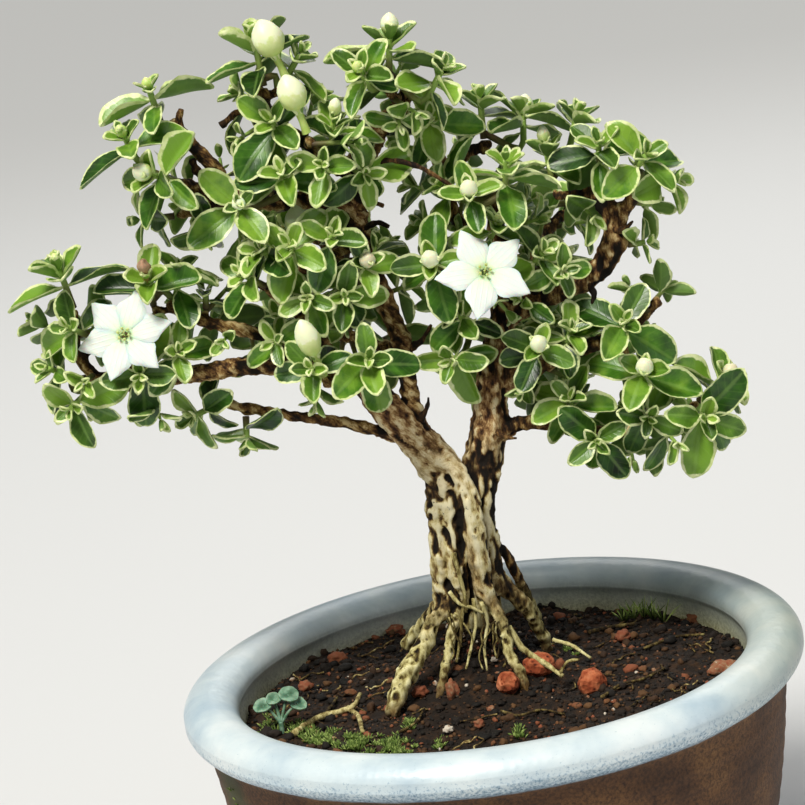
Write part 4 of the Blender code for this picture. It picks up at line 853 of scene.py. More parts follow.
# %% The shoots
SHOOTS = (
    ((21.8, 14.2, 0.5, (-0.3, 0.9, 0.3), 12, (8.2, 3.6), "green"),),
    ((23.4, 25.4, -4.5, (-0.7, 0.15, 0.7), 58, (8.0, 6.4, 4.0), "pale"),
     (18.8, 21.2, -3.0, (-0.4, 0.7, 0.6), 22, (8.4, 6.0, 3.4), "green")),
    ((21.6, 31.2, 1.2, (-0.9, -0.1, 0.2), 20, (6.0, 4.0)),),
    ((34.2, 29.8, -2.5, (0.0, 0.2, 0.95), 31, (8.6, 7.0, 3.0), "star"),
     (40.5, 25.8, -2.5, (-0.1, 0.4, 0.9), 14, (7.2, 5.6, 4.0))),
    ((37.0, 9.0, 0.5, (-0.2, 1.0, 0.3), 14, (8.0, 7.4, 6.0, 4.0)),
     (41.6, 9.8, 1.5, (0.5, 0.8, 0.3), -28, (7.0, 5.4, 3.4))),
    ((35.6, 14.2, 4.6, (-0.7, 0.4, 0.1), 8, (7.6, 5.2)),),
    ((39.4, 18.4, -1.0, (-0.2, 0.35, 0.9), 50, (8.6, 6.0, 4.0)),),
    ((47.4, 19.8, -1.5, (0.1, 0.8, 0.6), 10, (7.2, 5.6, 3.2), "tall"),
     (46.4, 24.0, -3.5, (-0.1, 0.1, 1.0), 78, (5.6, 5.0, 3.0)),
     (51.6, 24.6, -1.0, (0.3, -0.2, 0.9), 8, (8.0, 5.4))),
    ((55.6, 8.4, 1.0, (0.0, 1.0, 0.35), 10, (8.6, 6.4, 5.0, 3.4), "pale"),
     (52.2, 11.2, -2.0, (-0.3, 0.4, 0.85), 60, (6.0, 5.2, 3.4), "green"),
     (61.8, 12.0, 1.5, (0.5, 0.7, 0.5), 32, (7.2, 6.2, 4.0))),
    ((61.4, 17.8, 8.0, (0.0, 0.3, 0.9), 8, (7.6, 6.2, 4.0)),),
    ((68.8, 16.6, 11.5, (-0.1, 1.0, 0.2), 22, (7.2, 6.2, 4.0)),
     (74.6, 18.0, 12.5, (0.1, 1.0, 0.1), 50, (7.4, 6.0), "pale")),
    ((78.4, 23.4, 6.5, (-0.2, 1.0, 0.2), 4, (7.0, 5.4), "tall"),
     (81.8, 18.8, 9.0, (0.2, 0.9, 0.2), 28, (9.0, 6.4, 4.0))),
    ((85.6, 22.2, 2.5, (-0.1, 0.6, 0.8), 18, (7.6, 6.0, 4.0)),),
    ((91.2, 23.6, 0.5, (0.35, 0.5, 0.8), 45, (8.2, 6.6, 4.0)),
     (94.6, 25.8, 3.5, (0.8, 0.1, 0.4), 14, (7.0, 5.4))),
    ((72.2, 25.4, 1.0, (0.0, 0.9, 0.4), -4, (8.2, 6.2, 3.4)),
     (67.2, 28.4, -1.0, (-0.1, 0.4, 0.9), 96, (5.8, 4.6), "pale"),
     (64.4, 27.2, 4.5, (-0.7, 0.4, 0.4), 40, (8.0, 5.4))),
    ((62.2, 38.0, -1.5, (-0.2, 0.2, 0.95), 95, (7.8, 5.8, 3.6), "pale"),),
    ((70.4, 33.2, 2.5, (0.3, 0.7, 0.6), 2, (6.4, 4.8), "green"),),
    ((76.4, 37.4, 1.5, (0.4, 0.5, 0.8), 40, (8.2, 5.4, 3.4)),
     (79.6, 38.6, 1.0, (0.4, -0.1, 0.9), 10, (5.2, 4.2))),
    ((90.8, 34.8, 3.5, (0.95, 0.1, 0.3), 0, (4.6, 3.6)),),
    ((42.0, 36.0, -4.5, (-0.2, 0.3, 0.9), 60, (7.2, 6.0, 4.0)),
     (47.0, 34.8, -3.5, (0.2, 0.4, 0.9), 76, (7.0, 5.4, 3.2)),
     (38.2, 36.2, -3.5, (-0.6, 0.2, 0.8), 160, (6.6, 5.0))),
    ((51.8, 38.6, -2.5, (0.2, 0.4, 0.9), 16, (6.2, 5.2, 3.2), "spent"),
     (49.0, 42.2, -3.5, (0.1, -0.1, 1.0), 5, (6.0, 5.2, 3.0))),
    ((36.2, 40.0, -4.0, (-0.6, 0.3, 0.7), 42, (6.8, 5.2, 3.0)),),
    ((44.4, 42.6, -4.6, (-0.2, 0.0, 1.0), 100, (5.4, 4.4)),),
    ((45.0, 53.0, -6.5, (-0.2, 0.1, 0.95), 4, (5.8, 5.0, 3.4)),),
    ((52.4, 52.0, -6.5, (0.1, 0.2, 0.97), 6, (8.0, 5.8, 4.0)),),
    ((39.8, 48.9, -3.0, (-0.3, 0.0, 0.9), 28, (5.4, 3.8)),),
    ((21.4, 41.4, -2.5, (-0.1, 0.6, 0.75), 2, (7.6, 6.0, 4.0), "withered"),
     (25.4, 40.4, -0.5, (0.2, 0.8, 0.4), 54, (8.2, 5.4))),
    ((29.4, 43.0, 0.8, (0.0, 0.95, 0.2), 0, (5.2, 4.0)),),
    ((20.2, 53.2, -5.0, (0.0, -0.2, 0.97), 90, (8.4, 5.8, 3.0)),),
    ((25.0, 50.9, -3.5, (0.3, 0.3, 0.9), 20, (6.4, 5.0)),),
    ((11.2, 47.4, -4.6, (-0.5, 0.2, 0.85), 6, (8.2, 5.4, 3.2)),),
    ((9.4, 41.0, -2.0, (-0.3, 0.9, 0.35), 16, (8.6, 7.0, 5.0, 3.0), "green"),),
    ((8.6, 53.2, -2.0, (-0.6, 0.2, 0.75), 62, (5.6, 4.4, 3.0)),
     (11.0, 57.4, -3.5, (-0.3, -0.4, 0.85), 34, (8.0, 6.0, 3.2))),
    ((29.0, 58.8, 1.0, (-0.6, -0.3, 0.6), 48, (6.2, 5.2)),),
    ((35.2, 61.2, 2.4, (0.05, -1.0, 0.2), 60, (8.4, 5.0)),),
    ((66.4, 45.6, 0.5, (-0.5, 0.2, 0.9), 40, (6.6, 5.0, 3.0)),
     (65.2, 51.0, 0.5, (-0.4, -0.3, 0.85), 100, (7.2, 5.8))),
    ((76.8, 50.4, -2.5, (0.0, 0.3, 0.95), 62, (6.6, 5.6, 4.0), "pale"),
     (81.0, 48.4, 0.0, (0.3, 0.6, 0.7), 6, (6.8, 5.0))),
    ((88.9, 46.9, -1.0, (0.05, 0.35, 0.9), 145, (8.8, 7.2, 3.6)),),
    ((91.8, 53.6, -2.0, (0.0, 0.3, 0.95), 168, (8.2, 6.6, 4.6), "pale"),),
    ((102.0, 55.2, 0.8, (0.6, 0.6, 0.4), 20, (7.0, 5.6, 3.4), "spent"),),
    ((100.0, 59.4, -3.0, (0.2, -0.1, 0.95), 90, (9.2, 6.4, 4.0)),),
    ((92.4, 59.4, -2.5, (0.0, -0.2, 0.97), 68, (6.4, 5.0)),),
    ((85.2, 62.6, -2.0, (-0.1, -0.2, 0.95), 135, (7.6, 5.2, 3.0)),
     (81.6, 58.0, -1.0, (-0.2, 0.5, 0.8), 140, (6.8, 6.0))),
    ((40.0, 29.8, 24.5, (-0.4, 0.5, -0.8), 20, (7.4, 6.0, 4.0), "pale"),
     (46.5, 31.0, 21.0, (0.2, 0.7, -0.7), 70, (7.0, 5.6))),
    ((81.5, 29.0, 24.5, (0.3, 0.5, -0.8), 10, (7.6, 6.2, 4.0), "pale"),
     (75.5, 30.2, 21.0, (-0.3, 0.6, -0.8), 60, (7.0, 5.6))),
    ((83.5, 48.6, 23.5, (0.5, 0.4, -0.8), 30, (7.6, 6.0, 4.0), "green"),),
    ((39.8, 45.8, 21.5, (-0.5, 0.4, -0.8), 10, (7.6, 6.0, 4.0), "green"),),
)

PAIR_STEP = 0.95
PAIR_OPENING = (88, 66, 46, 30)
LEAF_DROOP = 0.16
LEAF_WIDTH_SHARE = 0.47
BLADE_THICKNESS = 0.64
BLADE_STATIONS = ((0.0, 0.14), (0.42, 1.0), (0.78, 0.80), (1.0, 0.0))
SMALL_STATIONS = ((0.0, 0.16), (0.46, 1.0), (0.94, 0.42))
SMALL_LEAF = 6.9
SHOOT_RADIUS = 0.55
STEM_DROPS = (3.2, 2.4, 1.7, 1.1, 0.7)


def opened(grows, out, angle):
    """Direction and upper side of a leaf that opens from its stem by an angle, towards out."""
    return grows * math.cos(angle) + out * math.sin(angle), grows * math.sin(angle) - out * math.cos(angle)


class Tuft:
    """One tuft of opposite leaves: its heart, the way it grows and the poses of its leaves."""

    def __init__(self, u, v, y, grows, turn, lengths, bud=None):
        self.turn, self.lengths, self.bud = turn, lengths, bud
        self.heart = at(u, v, y)
        self.grows = heading(*grows)
        self.top = self.heart + self.grows * (PAIR_STEP * (len(self.lengths) - 1) + 0.4)

    def radial(self, degrees):
        """The way out from the stem at this turn from the tuft's own."""
        return Matrix.Rotation(math.radians(self.turn + degrees), 3, self.grows) @ level_out(self.grows)

    def leaf_pose(self, rank, opening, out):
        """Root, direction and upper side of a leaf that opens this far from the stem, towards out."""
        along, upper = opened(self.grows, out, opening)
        return self.heart + self.grows * (PAIR_STEP * rank) + along * 0.09, along, upper

    def pair_pose(self, rank, which, swing, pitch):
        """The pose of one leaf of a pair. Rank 0 is the lowest, widest pair."""
        out = self.radial(90 * rank + 180 * which + swing)
        return self.leaf_pose(rank, math.radians(PAIR_OPENING[rank] + pitch), out)


def swings():
    """Small turns to try, mildest first."""
    yield 0, 0
    for size in (1, 2, 3):
        for swing, pitch in ((0, -12), (13, 0), (-13, 0), (0, 10), (11, -10), (-11, -10)):
            yield swing * size, pitch * size


def squared(along, upper):
    """The directions along, across and up, made square to each other."""
    along = along.normalized()
    upper = (upper - along * upper.dot(along)).normalized()
    return along, along.cross(upper), upper


def blade_rows(root, along, upper, length, width):
    """The corners of a plain blade, row by row, as the CAD source lays them out."""
    along, side, upper = squared(along, upper)
    lift = upper * (BLADE_THICKNESS / 2)
    for share, breadth in SMALL_STATIONS if length < SMALL_LEAF else BLADE_STATIONS:
        middle = root + along * (length * share) - upper * (length * LEAF_DROOP * share * share)
        half = width / 2 * breadth
        yield [middle - side * half + lift, middle + side * half + lift,
               middle + side * half - lift, middle - side * half - lift]


tufts = [[Tuft(*row) for row in rows] for rows in SHOOTS]
print("shoots", len(tufts), "tufts", sum(len(shoot) for shoot in tufts))

# %% [markdown]
# ## Finding the seats
# The turn that a leaf settled on is found again by asking which candidate's corners lie on corners of the CAD
# solid. Candidates are tried in the source's order with its seeded draws, and a search tree over the solid's
# corners answers at once. Leaves that the source left out stay out.

# %% Match the candidates to the CAD shoots
NEAR = 0.04


def corners_of(node):
    """A search tree over the corners of a CAD node, in millimetres."""
    mesh = nodes[node].data
    tree = KDTree(len(mesh.vertices))
    for i, vertex in enumerate(mesh.vertices):
        tree.insert(vertex.co / MM, i)
    tree.balance()
    return tree


def lies_on(tree, points):
    return all(tree.find(point)[2] < NEAR for point in points)


def seat(tuft, rank, which, draw, tree):
    """The pose and size of one leaf of the CAD shoot, or None where it has none."""
    lean, nod, size = draw.uniform(-9, 9), draw.uniform(-6, 8), draw.uniform(0.92, 1.06)
    for shrink in (1.0, 0.82, 0.66):
        length = tuft.lengths[rank] * size * shrink
        width = max(1.7, length * LEAF_WIDTH_SHARE)
        for swing, pitch in swings():
            blade = tuft.pair_pose(rank, which, lean + swing, nod + pitch) + (length, width)
            rows = list(blade_rows(*blade))
            if lies_on(tree, rows[-1]) and lies_on(tree, rows[-2][:2]):
                return blade
    return None


draw = random.Random(7)
shoot_corners = [corners_of(f"shoot_{number:02d}") for number in range(1, len(tufts) + 1)]
seats = [[] for _ in tufts]
for rank in (0, 1):
    for number, shoot in enumerate(tufts):
        for tuft in shoot:
            if rank < len(tuft.lengths):
                for which in (0, 1):
                    blade = seat(tuft, rank, which, draw, shoot_corners[number])
                    if blade:
                        seats[number].append((tuft, rank, blade))
print("leaves seated", sum(len(shoot) for shoot in seats))

# %% [markdown]
# ## The form of a leaf
# A leaf of this plant is a narrow oval with a short point, folded a little along its midrib, arched towards
# its tip, and thin: 0.3 mm in the middle and nothing at the margin. It is a grid of points over the outline,
# once for the upper face and once for the lower, which share their rim, so the leaf is closed.

# %% Leaf blade
# Share of the length, then share of the half width
OUTLINE = ((0.0, 0.12), (0.06, 0.15), (0.12, 0.33), (0.20, 0.60), (0.30, 0.82), (0.42, 0.96), (0.54, 1.0),
           (0.66, 0.97), (0.77, 0.88), (0.86, 0.72), (0.93, 0.50), (0.975, 0.27), (1.0, 0.05))
ACROSS = np.array((-1.0, -0.72, -0.36, 0.0, 0.36, 0.72, 1.0))
LEAF_THICKNESS = 0.30
LEAF_FULLNESS = 1.18


def shell_faces(rows, columns):
    """Corner rows of the upper and lower faces of a closed thin sheet. Only inner points are doubled."""
    upper = np.arange(rows * columns).reshape(rows, columns)
    lower = upper.copy()
    lower[1:-1, 1:-1] = rows * columns + np.arange((rows - 2) * (columns - 2)).reshape(rows - 2, columns - 2)
    top = np.stack([upper[:-1, :-1], upper[1:, :-1], upper[1:, 1:], upper[:-1, 1:]], -1).reshape(-1, 4)
    under = np.stack([lower[:-1, :-1], lower[:-1, 1:], lower[1:, 1:], lower[1:, :-1]], -1).reshape(-1, 4)
    return np.concatenate([top, under])


def shell(grid, normals, thickness, marks):
    """Points and marks of a closed thin sheet over a grid of points, thinned to nothing at its rim."""
    inner = (slice(1, -1), slice(1, -1))
    half = (thickness / 2) * np.ones(grid.shape[:2])
    half[0], half[-1], half[:, 0], half[:, -1] = 0, 0, 0, 0
    upper = grid + normals * half[..., None]
    lower = (grid - normals * half[..., None])[inner]
    points = np.concatenate([upper.reshape(-1, 3), lower.reshape(-1, 3)])
    spread = {name: np.concatenate([values.ravel(), values[inner].ravel()]) for name, values in marks.items()}
    under = np.zeros(len(points))
    under[grid.shape[0] * grid.shape[1]:] = 1.0
    return points, shell_faces(*grid.shape[:2]), {**spread, "under": under}


def laid_out(root, axes, x, y, z):
    """A grid of points at these distances along three axes, and its unit normals."""
    along, side, upper = (np.array(axis) for axis in axes)
    grid = np.array(root) + x[..., None] * along + y[..., None] * side + z[..., None] * upper
    normals = np.cross(np.gradient(grid, axis=1), np.gradient(grid, axis=0))
    return grid, normals / np.maximum(np.linalg.norm(normals, axis=2, keepdims=True), 1e-9)


def leaf(root, along, upper, length, width, rng, age, arch=LEAF_DROOP):
    """Points, faces and marks of one leaf blade. age is 1 for a grown leaf and 0 for one just opening."""
    share, breadth = np.array(OUTLINE if length > 3.2 else OUTLINE[::2] + OUTLINE[-1:]).T
    half = width / 2 * breadth * (1 + 0.04 * np.sin(share * rng.uniform(9, 16) + rng.uniform(0, 6)))
    fold = rng.uniform(0.02, 0.12) + 0.12 * (1 - age)
    cup = rng.choice((0.25, 0.35, 0.45, 0.8)) + 0.3 * (1 - age)
    curl = rng.uniform(-0.02, 0.10)
    twist = rng.uniform(-0.5, 0.5) * share
    bend = rng.uniform(-0.05, 0.05) * length * share ** 2
    x = np.outer(length * share, np.ones(len(ACROSS)))
    y = np.outer(half, ACROSS)
    wave = 0.05 * width * np.sin(share * rng.uniform(7, 12) + rng.uniform(0, 6))
    z = np.abs(y) * fold + cup * np.outer(half, ACROSS ** 2 - 0.25) + np.outer(wave, ACROSS ** 3)
    z -= np.outer(0.10 * np.minimum(1, half), np.exp(-(ACROSS / 0.16) ** 2))
    z -= length * (arch * share ** 2 + curl * share ** 4)[:, None]
    z += y * twist[:, None]
    grid, normals = laid_out(root, squared(along, upper), x, y + bend[:, None], z)
    edge = np.minimum(half[:, None] * (1 - np.abs(ACROSS)), (length * (1 - share) * 0.6)[:, None])
    edge = edge * (1 + 0.5 * max(0.0, 1 - length / 6))
    marks = {
        "edge": edge,
        "along": np.outer(share, np.ones(len(ACROSS))),
        "across": np.outer(np.ones(len(share)), ACROSS),
    }
    points, faces, marks = shell(grid, normals, LEAF_THICKNESS, marks)
    return points, faces, {**marks, "own": rng.random(), "age": age}


sample = leaf(Vector(), Vector((1, 0, 0)), Vector((0, 0, 1)), 8.0, 3.7, random.Random(1), 1.0)
print("a leaf has", len(sample[0]), "points and", len(sample[1]), "quads")

# %% [markdown]
# ## The finish of leaves
# The leaves are variegated: deep green with a waxy shine, a cream margin a third of a millimetre wide, a pale
# midrib and faint side veins. Young leaves are yellow green, and the underside is paler and matt. Wax over a
# wet leaf has an IOR of about 1.45 and a roughness of 0.3 to 0.4. A small share of the light is scattered
# under the surface.

# %% Leaf finish
leaf_skin, leaf_shader = new_skin("variegated_leaf", IOR=1.45, Subsurface_Weight=0.12,
                                  Subsurface_Scale=0.0005)
leaf_shader.inputs["Subsurface Radius"].default_value = (0.7, 1.0, 0.3)
where = on_object(leaf_skin)
edge_mark, along_mark, across_mark, own_mark, age_mark, under_mark = marked(
    leaf_skin, "edge", "along", "across", "own", "age", "under")

# The cream margin, 0.2 to 0.5 mm wide, with a ragged inner line every 0.6 mm
ragged = clouds_of(where, 1.2, 3.0)
mottle = clouds_of(where, 2.6)
width = scaled(own_mark, 0.16, scaled(ragged, 0.55, -0.24))
inwards = add(leaf_skin, "Math", {0: edge_mark, 1: width}, operation="SUBTRACT").outputs[0]
green_share = fade(inwards, 0.10, 0.20)

# Midrib and side veins: seven pairs, swept towards the tip
off_middle = add(leaf_skin, "Math", {0: across_mark}, operation="ABSOLUTE").outputs[0]
midrib = fade(off_middle, 0.05, 0.16, 1.0, 0.0)
sweep = scaled(along_mark, 7.0, scaled(off_middle, -1.7))
vein = add(leaf_skin, "Math", {0: sweep, 1: 0.5}, operation="PINGPONG").outputs[0]
vein = fade(vein, 0.0, 0.13, 1.0, 0.0)
ribs = scaled(vein, 0.35, midrib, use_clamp=True)

# Greens: from leaf to leaf, then from spot to spot
shade = scaled(own_mark, 0.62, mottle)
grown = ramp(shade, (0.35, "122607"), (0.60, "264d0e"), (0.82, "45741a"), (1.0, "6f972c"))
young = ramp(shade, (0.35, "52861e"), (0.95, "9abb42"))
green = blend(age_mark, young, grown)
green = blend(scaled(ribs, 0.22), green, paint("94b95c"))
green = blend(scaled(under_mark, 0.42), green, paint("7d9d52"))
cream = ramp(ragged, (0.35, "b9cb7c"), (0.65, "e3eab2"))
shine = scaled(under_mark, 0.28, scaled(mottle, 0.16, 0.26))
height = scaled(ribs, -0.8, ragged)
join(leaf_skin, leaf_shader, Base_Color=blend(green_share, cream, green), Roughness=shine,
     Normal=bumpy(height, 0.07, 0.6))
print("leaf finish in", len(leaf_skin.node_tree.nodes), "nodes")

# %% [markdown]
# ## Stems, small buds and spent flowers
# Under the leaves is a thin square stem, green above and brown below. Most tufts end in a bud: a green one no
# bigger than a grain of rice, a pale one about to swell, or the brown rag of a flower that is over. Their
# waxes are as thin as the leaf's.

# %% Finish of stems and buds
stem_skin, stem_shader = new_skin("green_shoot_bark", Roughness=0.6, IOR=1.45)
mottle = clouds_of(on_object(stem_skin), 1.0)
height_mark, = marked(stem_skin, "along")
tone = scaled(mottle, 0.5, height_mark)
join(stem_skin, stem_shader,
     Base_Color=ramp(tone, (0.25, "4a3722"), (0.55, "6a6a34"), (1.0, "8fae52")),
     Normal=bumpy(mottle, 0.12, 0.8))

bud_skin, bud_shader = new_skin("waxy_flower_bud", Roughness=0.42, IOR=1.45, Subsurface_Weight=0.2,
                                Subsurface_Scale=0.001)
mottle = clouds_of(on_object(bud_skin), 1.4, 3.0)
height_mark, ripe_mark, brown_mark = marked(bud_skin, "along", "ripe", "withered")
tone = scaled(height_mark, 0.60, scaled(mottle, 0.45, ripe_mark))
fresh = ramp(tone, (0.25, "6f9a34"), (0.60, "b3cc66"), (0.95, "dde8a0"), (1.0, "eff4cc"))
brown = ramp(mottle, (0.35, "7a4a30"), (0.65, "c99a7a"))
join(bud_skin, bud_shader, Base_Color=blend(brown_mark, fresh, brown),
     Normal=bumpy(mottle, 0.08, 0.5))
plant_skins = [leaf_skin, stem_skin, bud_skin]
print("finishes of a shoot:", ", ".join(skin.name for skin in plant_skins))

# %% [markdown]
# ## The egg of a bud
# All buds are one turned egg in several sizes, with five soft folds where the petals overlap. What tells them
# apart is a row of five numbers. Four sepals stand round the foot of each, and they are made by the leaf
# function, because a sepal is a small leaf.

# %% Bud shapes
# Length, width, neck, ripeness and how withered each kind is
BUD_KINDS = {
    "green": (2.0, 1.7, 0.5, 0.05, 0.0),
    "pale": (3.0, 2.5, 0.8, 0.45, 0.0),
    "tall": (2.6, 1.8, 2.2, 0.40, 0.0),
    "star": (1.3, 1.9, 0.4, 0.75, 0.0),
    "spent": (2.4, 2.2, 0.5, 0.80, 0.35),
    "withered": (2.6, 1.7, 2.0, 0.50, 0.9),
}
EGG = ((0.0, 0.50), (0.10, 0.68), (0.22, 0.88), (0.36, 0.99), (0.50, 1.0), (0.64, 0.92), (0.76, 0.77),
       (0.86, 0.56), (0.94, 0.33), (0.985, 0.14), (1.0, 0.03))
LEAF, STEM, BUD, PETAL = range(4)


def add_bud(pile, foot, facing, length, width, neck, ripe, withered, rng, sides=15, throat=0.36):
    """A bud on its neck, with folds round it and a crown of sepals at the foot of its egg."""
    rows = [(0.0, throat * 1.25), (neck * 0.5, throat), (neck, throat * 1.1)]
    rows += [(neck + length * share, max(width / 2 * swell, 0.03)) for share, swell in EGG[1:]]
    points, faces = turned(rows, foot, facing, sides, 5, 0.05, 0.35)
    height = np.repeat([max(0.0, (along - neck) / length) for along, _ in rows], sides)
    height = np.append(height, [0.0, 1.0])
    if withered:
        points = points + np.array([noise.noise_vector(Vector(p) * 0.9) for p in points]) * 0.35 * withered
    pile.add(points, faces, BUD, along=height, ripe=ripe, withered=withered)
    side = facing.orthogonal().normalized()
    for k in range(4):
        out = Matrix.Rotation(math.tau * (k + rng.random() * 0.3) / 4, 3, facing) @ side
        along = (facing * 0.86 + out * 0.5).normalized()
        root = foot + facing * (neck * 0.8) + out * throat * 0.6
        reach = min(1.5, 0.5 * length + 0.3)
        pile.lay(leaf(root, along, facing * 0.5 - out * 0.86, reach, 0.62, rng, 0.5, -0.1), LEAF)


print("kinds of bud:", ", ".join(BUD_KINDS))

# %% [markdown]
# ## Stems that follow the CAD stems
# A tuft's stem stops as far down as the source could let it, and a side stem bends to keep clear of its
# neighbours. Both are found in the same way as the leaves' seats: by the corners of the CAD solid.

# %% Stems of a shoot
def around(axis, size):
    """Offsets across an axis: none first, then eight ways out."""
    yield Vector()
    side = axis.orthogonal().normalized()
    for k in range(8):
        yield Matrix.Rotation(math.tau * k / 8, 3, axis) @ side * size


def ring_of(points, radii, side, index):
    return tube(points, radii, 4, side)[0][4 * index:4 * index + 4]


def main_stem(tuft, tree):
    """The square stem under a shoot's first tuft, from its tip to its foot."""
    for drop in STEM_DROPS:
        points = [tuft.top, tuft.heart - tuft.grows * drop]
        if lies_on(tree, ring_of(points, [SHOOT_RADIUS, SHOOT_RADIUS * 1.15], tuft.radial(45), 1)):
            return points
    return points


def side_stem(main, foot, tuft, apart, tree):
    """The stem from another tuft's tip down to the shoot's first stem."""
    for drop in STEM_DROPS:
        turn = tuft.heart - tuft.grows * drop
        for rise in (0.9, 1.6, 2.3, 0.4):
            fork = foot + main.grows * (rise + apart)
            for offset in around((turn - fork).normalized(), 1.2):
                knee = turn.lerp(fork, 0.5) + offset
                points = [tuft.top, turn, knee, fork] if offset.length else [tuft.top, turn, fork]
                radii = [SHOOT_RADIUS] * (len(points) - 1) + [SHOOT_RADIUS * 0.6]
                rings = [ring_of(points, radii, tuft.radial(45), i) for i in range(1, len(points) - 1)]
                if all(lies_on(tree, ring) for ring in rings):
                    return points
    return [tuft.top, tuft.heart - tuft.grows * STEM_DROPS[0], foot]


stems = []
for number, shoot in enumerate(tufts):
    lines = [main_stem(shoot[0], shoot_corners[number])]
    for tuft in shoot[1:]:
        lines.append(side_stem(shoot[0], lines[0][-1], tuft, 0.37 * (len(lines) - 1), shoot_corners[number]))
    stems.append(lines)
print("stems", sum(len(lines) for lines in stems))

# %% [markdown]
# ## Dressing the shoots
# Each shoot is one piece that stands for one CAD shoot. The two lowest pairs of a tuft take the seats found
# above. The younger pairs, which the solids leave out, follow the same rule of right angles, smaller and more
# upright, down to a last pair just opening round the bud.

# %% Build the shoots
def young_pairs(tuft):
    """Rank, length and opening of the pairs that stand inside the two lowest ones."""
    lengths = list(tuft.lengths[2:])
    last = tuft.lengths[min(len(tuft.lengths), 4) - 1]
    while len(lengths) < 3 and last > 2.6:
        last *= 0.62
        lengths.append(last)
    for i, length in enumerate(lengths):
        yield i + 2, length, math.radians((46, 30, 20)[min(i, 2)])


rng = random.Random(21)
leaf_count = 0
for number, (shoot, lines, blades) in enumerate(zip(tufts, stems, seats), 1):
    pile = Pile()
    for line in lines:
        points, radii = smooth_line(line, [0.42] + [0.50] * (len(line) - 1), 3)
        height = np.repeat(np.linspace(1.0, 0.0, len(points)), 8)
        pile.add(*tube(points, radii, 8), STEM, along=np.append(height, [1.0, 0.0]))
    for tuft, rank, blade in blades:
        pile.lay(leaf(*blade[:4], blade[4] * LEAF_FULLNESS, rng, 1.0 - 0.22 * rank), LEAF)
    for tuft in shoot:
        for rank, length, opening in young_pairs(tuft):
            for which in (0, 1):
                out = tuft.radial(90 * rank + 180 * which + rng.uniform(-12, 12))
                root, along, upper = tuft.leaf_pose(min(rank, len(tuft.lengths)) - 0.4, opening, out)
                age = 0.75 - 0.25 * (rank - 2)
                pile.lay(leaf(root, along, upper, length, length * 0.58, rng, age, 0.05), LEAF)
                leaf_count += 1
        if tuft.bud:
            add_bud(pile, tuft.top - tuft.grows * 0.6, tuft.grows, *BUD_KINDS[tuft.bud], rng)
    leaf_count += len(blades)
    name = f"leafy_shoot_{number:02d}"
    place(name, pile.mesh(name, plant_skins, 75), "leaf", [f"shoot_{number:02d}"])
print("leaves built", leaf_count)

# %% [markdown]
# ## Four swelling buds and two open stars
# The four big buds are cream eggs on slim tubes. The open flowers are funnels that spread into pointed lobes,
# six in one and five in the other. A petal is soft and wet: matt, with much light scattered inside, fine
# fibres along it, and greenish in the throat.

# %% Petal finish
petal_skin, petal_shader = new_skin("white_petal", Roughness=0.55, IOR=1.4, Subsurface_Weight=0.35,
                                    Subsurface_Scale=0.0012)
along_mark, across_mark = marked(petal_skin, "along", "across")
fibres = add(petal_skin, "Math", {0: across_mark, 1: 0.16}, operation="PINGPONG").outputs[0]
fibres = fade(fibres, 0.0, 0.06)
flesh = clouds_of(on_object(petal_skin), 0.6, 3.0)
tone = ramp(scaled(flesh, 0.10, along_mark),
            (0.05, "b9c98a"), (0.20, "e3ead0"), (0.42, "e1e4dd"), (1.0, "e5e8e3"))
join(petal_skin, petal_shader, Base_Color=tone,
     Normal=bumpy(scaled(flesh, 0.4, fibres), 0.05, 0.5))
print("petals are", petal_skin.name)

# %% [markdown]
# ## Lobes, funnel and anthers
# A lobe is a closed thin sheet, as a leaf is, but wider, with a small shoulder on each side of its point,
# creased down the middle, arched back and ruffled. The funnel is turned, with its inner wall in the same
# profile. Anthers and style are tubes a tenth of a millimetre thick.

# %% Flower shapes
BIG_BUDS = (
    ((38.2, 5.4, -2.0), (-0.4, 0.85, 0.3), 5.4, 4.3),
    ((41.6, 13.2, -4.6), (-0.35, 0.9, 0.3), 5.2, 3.9),
    ((42.4, 31.6, 0.8), (-0.1, 0.95, 0.3), 4.6, 3.5),
    ((43.9, 48.2, -9.0), (-0.35, 0.85, 0.4), 5.6, 3.3),
)
BLOOMS = (
    ((17.8, 47.9, -6.5), (-0.12, 0.22, 0.96), 6.6, 6, 75),
    ((69.2, 38.9, -5.5), (0.05, 0.35, 0.93), 6.9, 5, 118),
)
BUD_NECK = 3.4
BLOOM_TUBE = 4.6
LOBE = ((0.0, 0.34), (0.09, 0.46), (0.18, 0.62), (0.28, 0.80), (0.38, 0.94), (0.47, 1.0), (0.55, 0.96),
        (0.62, 0.86), (0.67, 0.72), (0.71, 0.61), (0.76, 0.52), (0.82, 0.42), (0.88, 0.29), (0.94, 0.15),
        (1.0, 0.02))
LOBE_ACROSS = np.linspace(-1, 1, 11)


def lobe(root, along, upper, length, width, droop, rng):
    """Points, faces and marks of one petal lobe."""
    share, breadth = np.array(LOBE).T
    half = width / 2 * breadth
    y = np.outer(half, LOBE_ACROSS)
    lean = rng.uniform(-0.10, 0.10)
    z = -length * droop * share[:, None] ** 2 + lean * y
    z = z + 0.16 * np.abs(LOBE_ACROSS) * share[:, None] - 0.30 * np.outer(share, LOBE_ACROSS ** 2)
    ruffle = np.sin(share[:, None] * 11 + np.sign(LOBE_ACROSS) * 1.3 + rng.uniform(0, 6))
    z = z + 0.26 * ruffle * LOBE_ACROSS ** 2 * share[:, None]
    x = np.outer(length * share, np.ones(len(LOBE_ACROSS)))
    grid, normals = laid_out(root, squared(along, upper), x, y, z)
    marks = {"along": np.outer(share, np.ones(len(LOBE_ACROSS))), "across": np.outer(breadth, LOBE_ACROSS)}
    return shell(grid, normals, 0.34, marks)


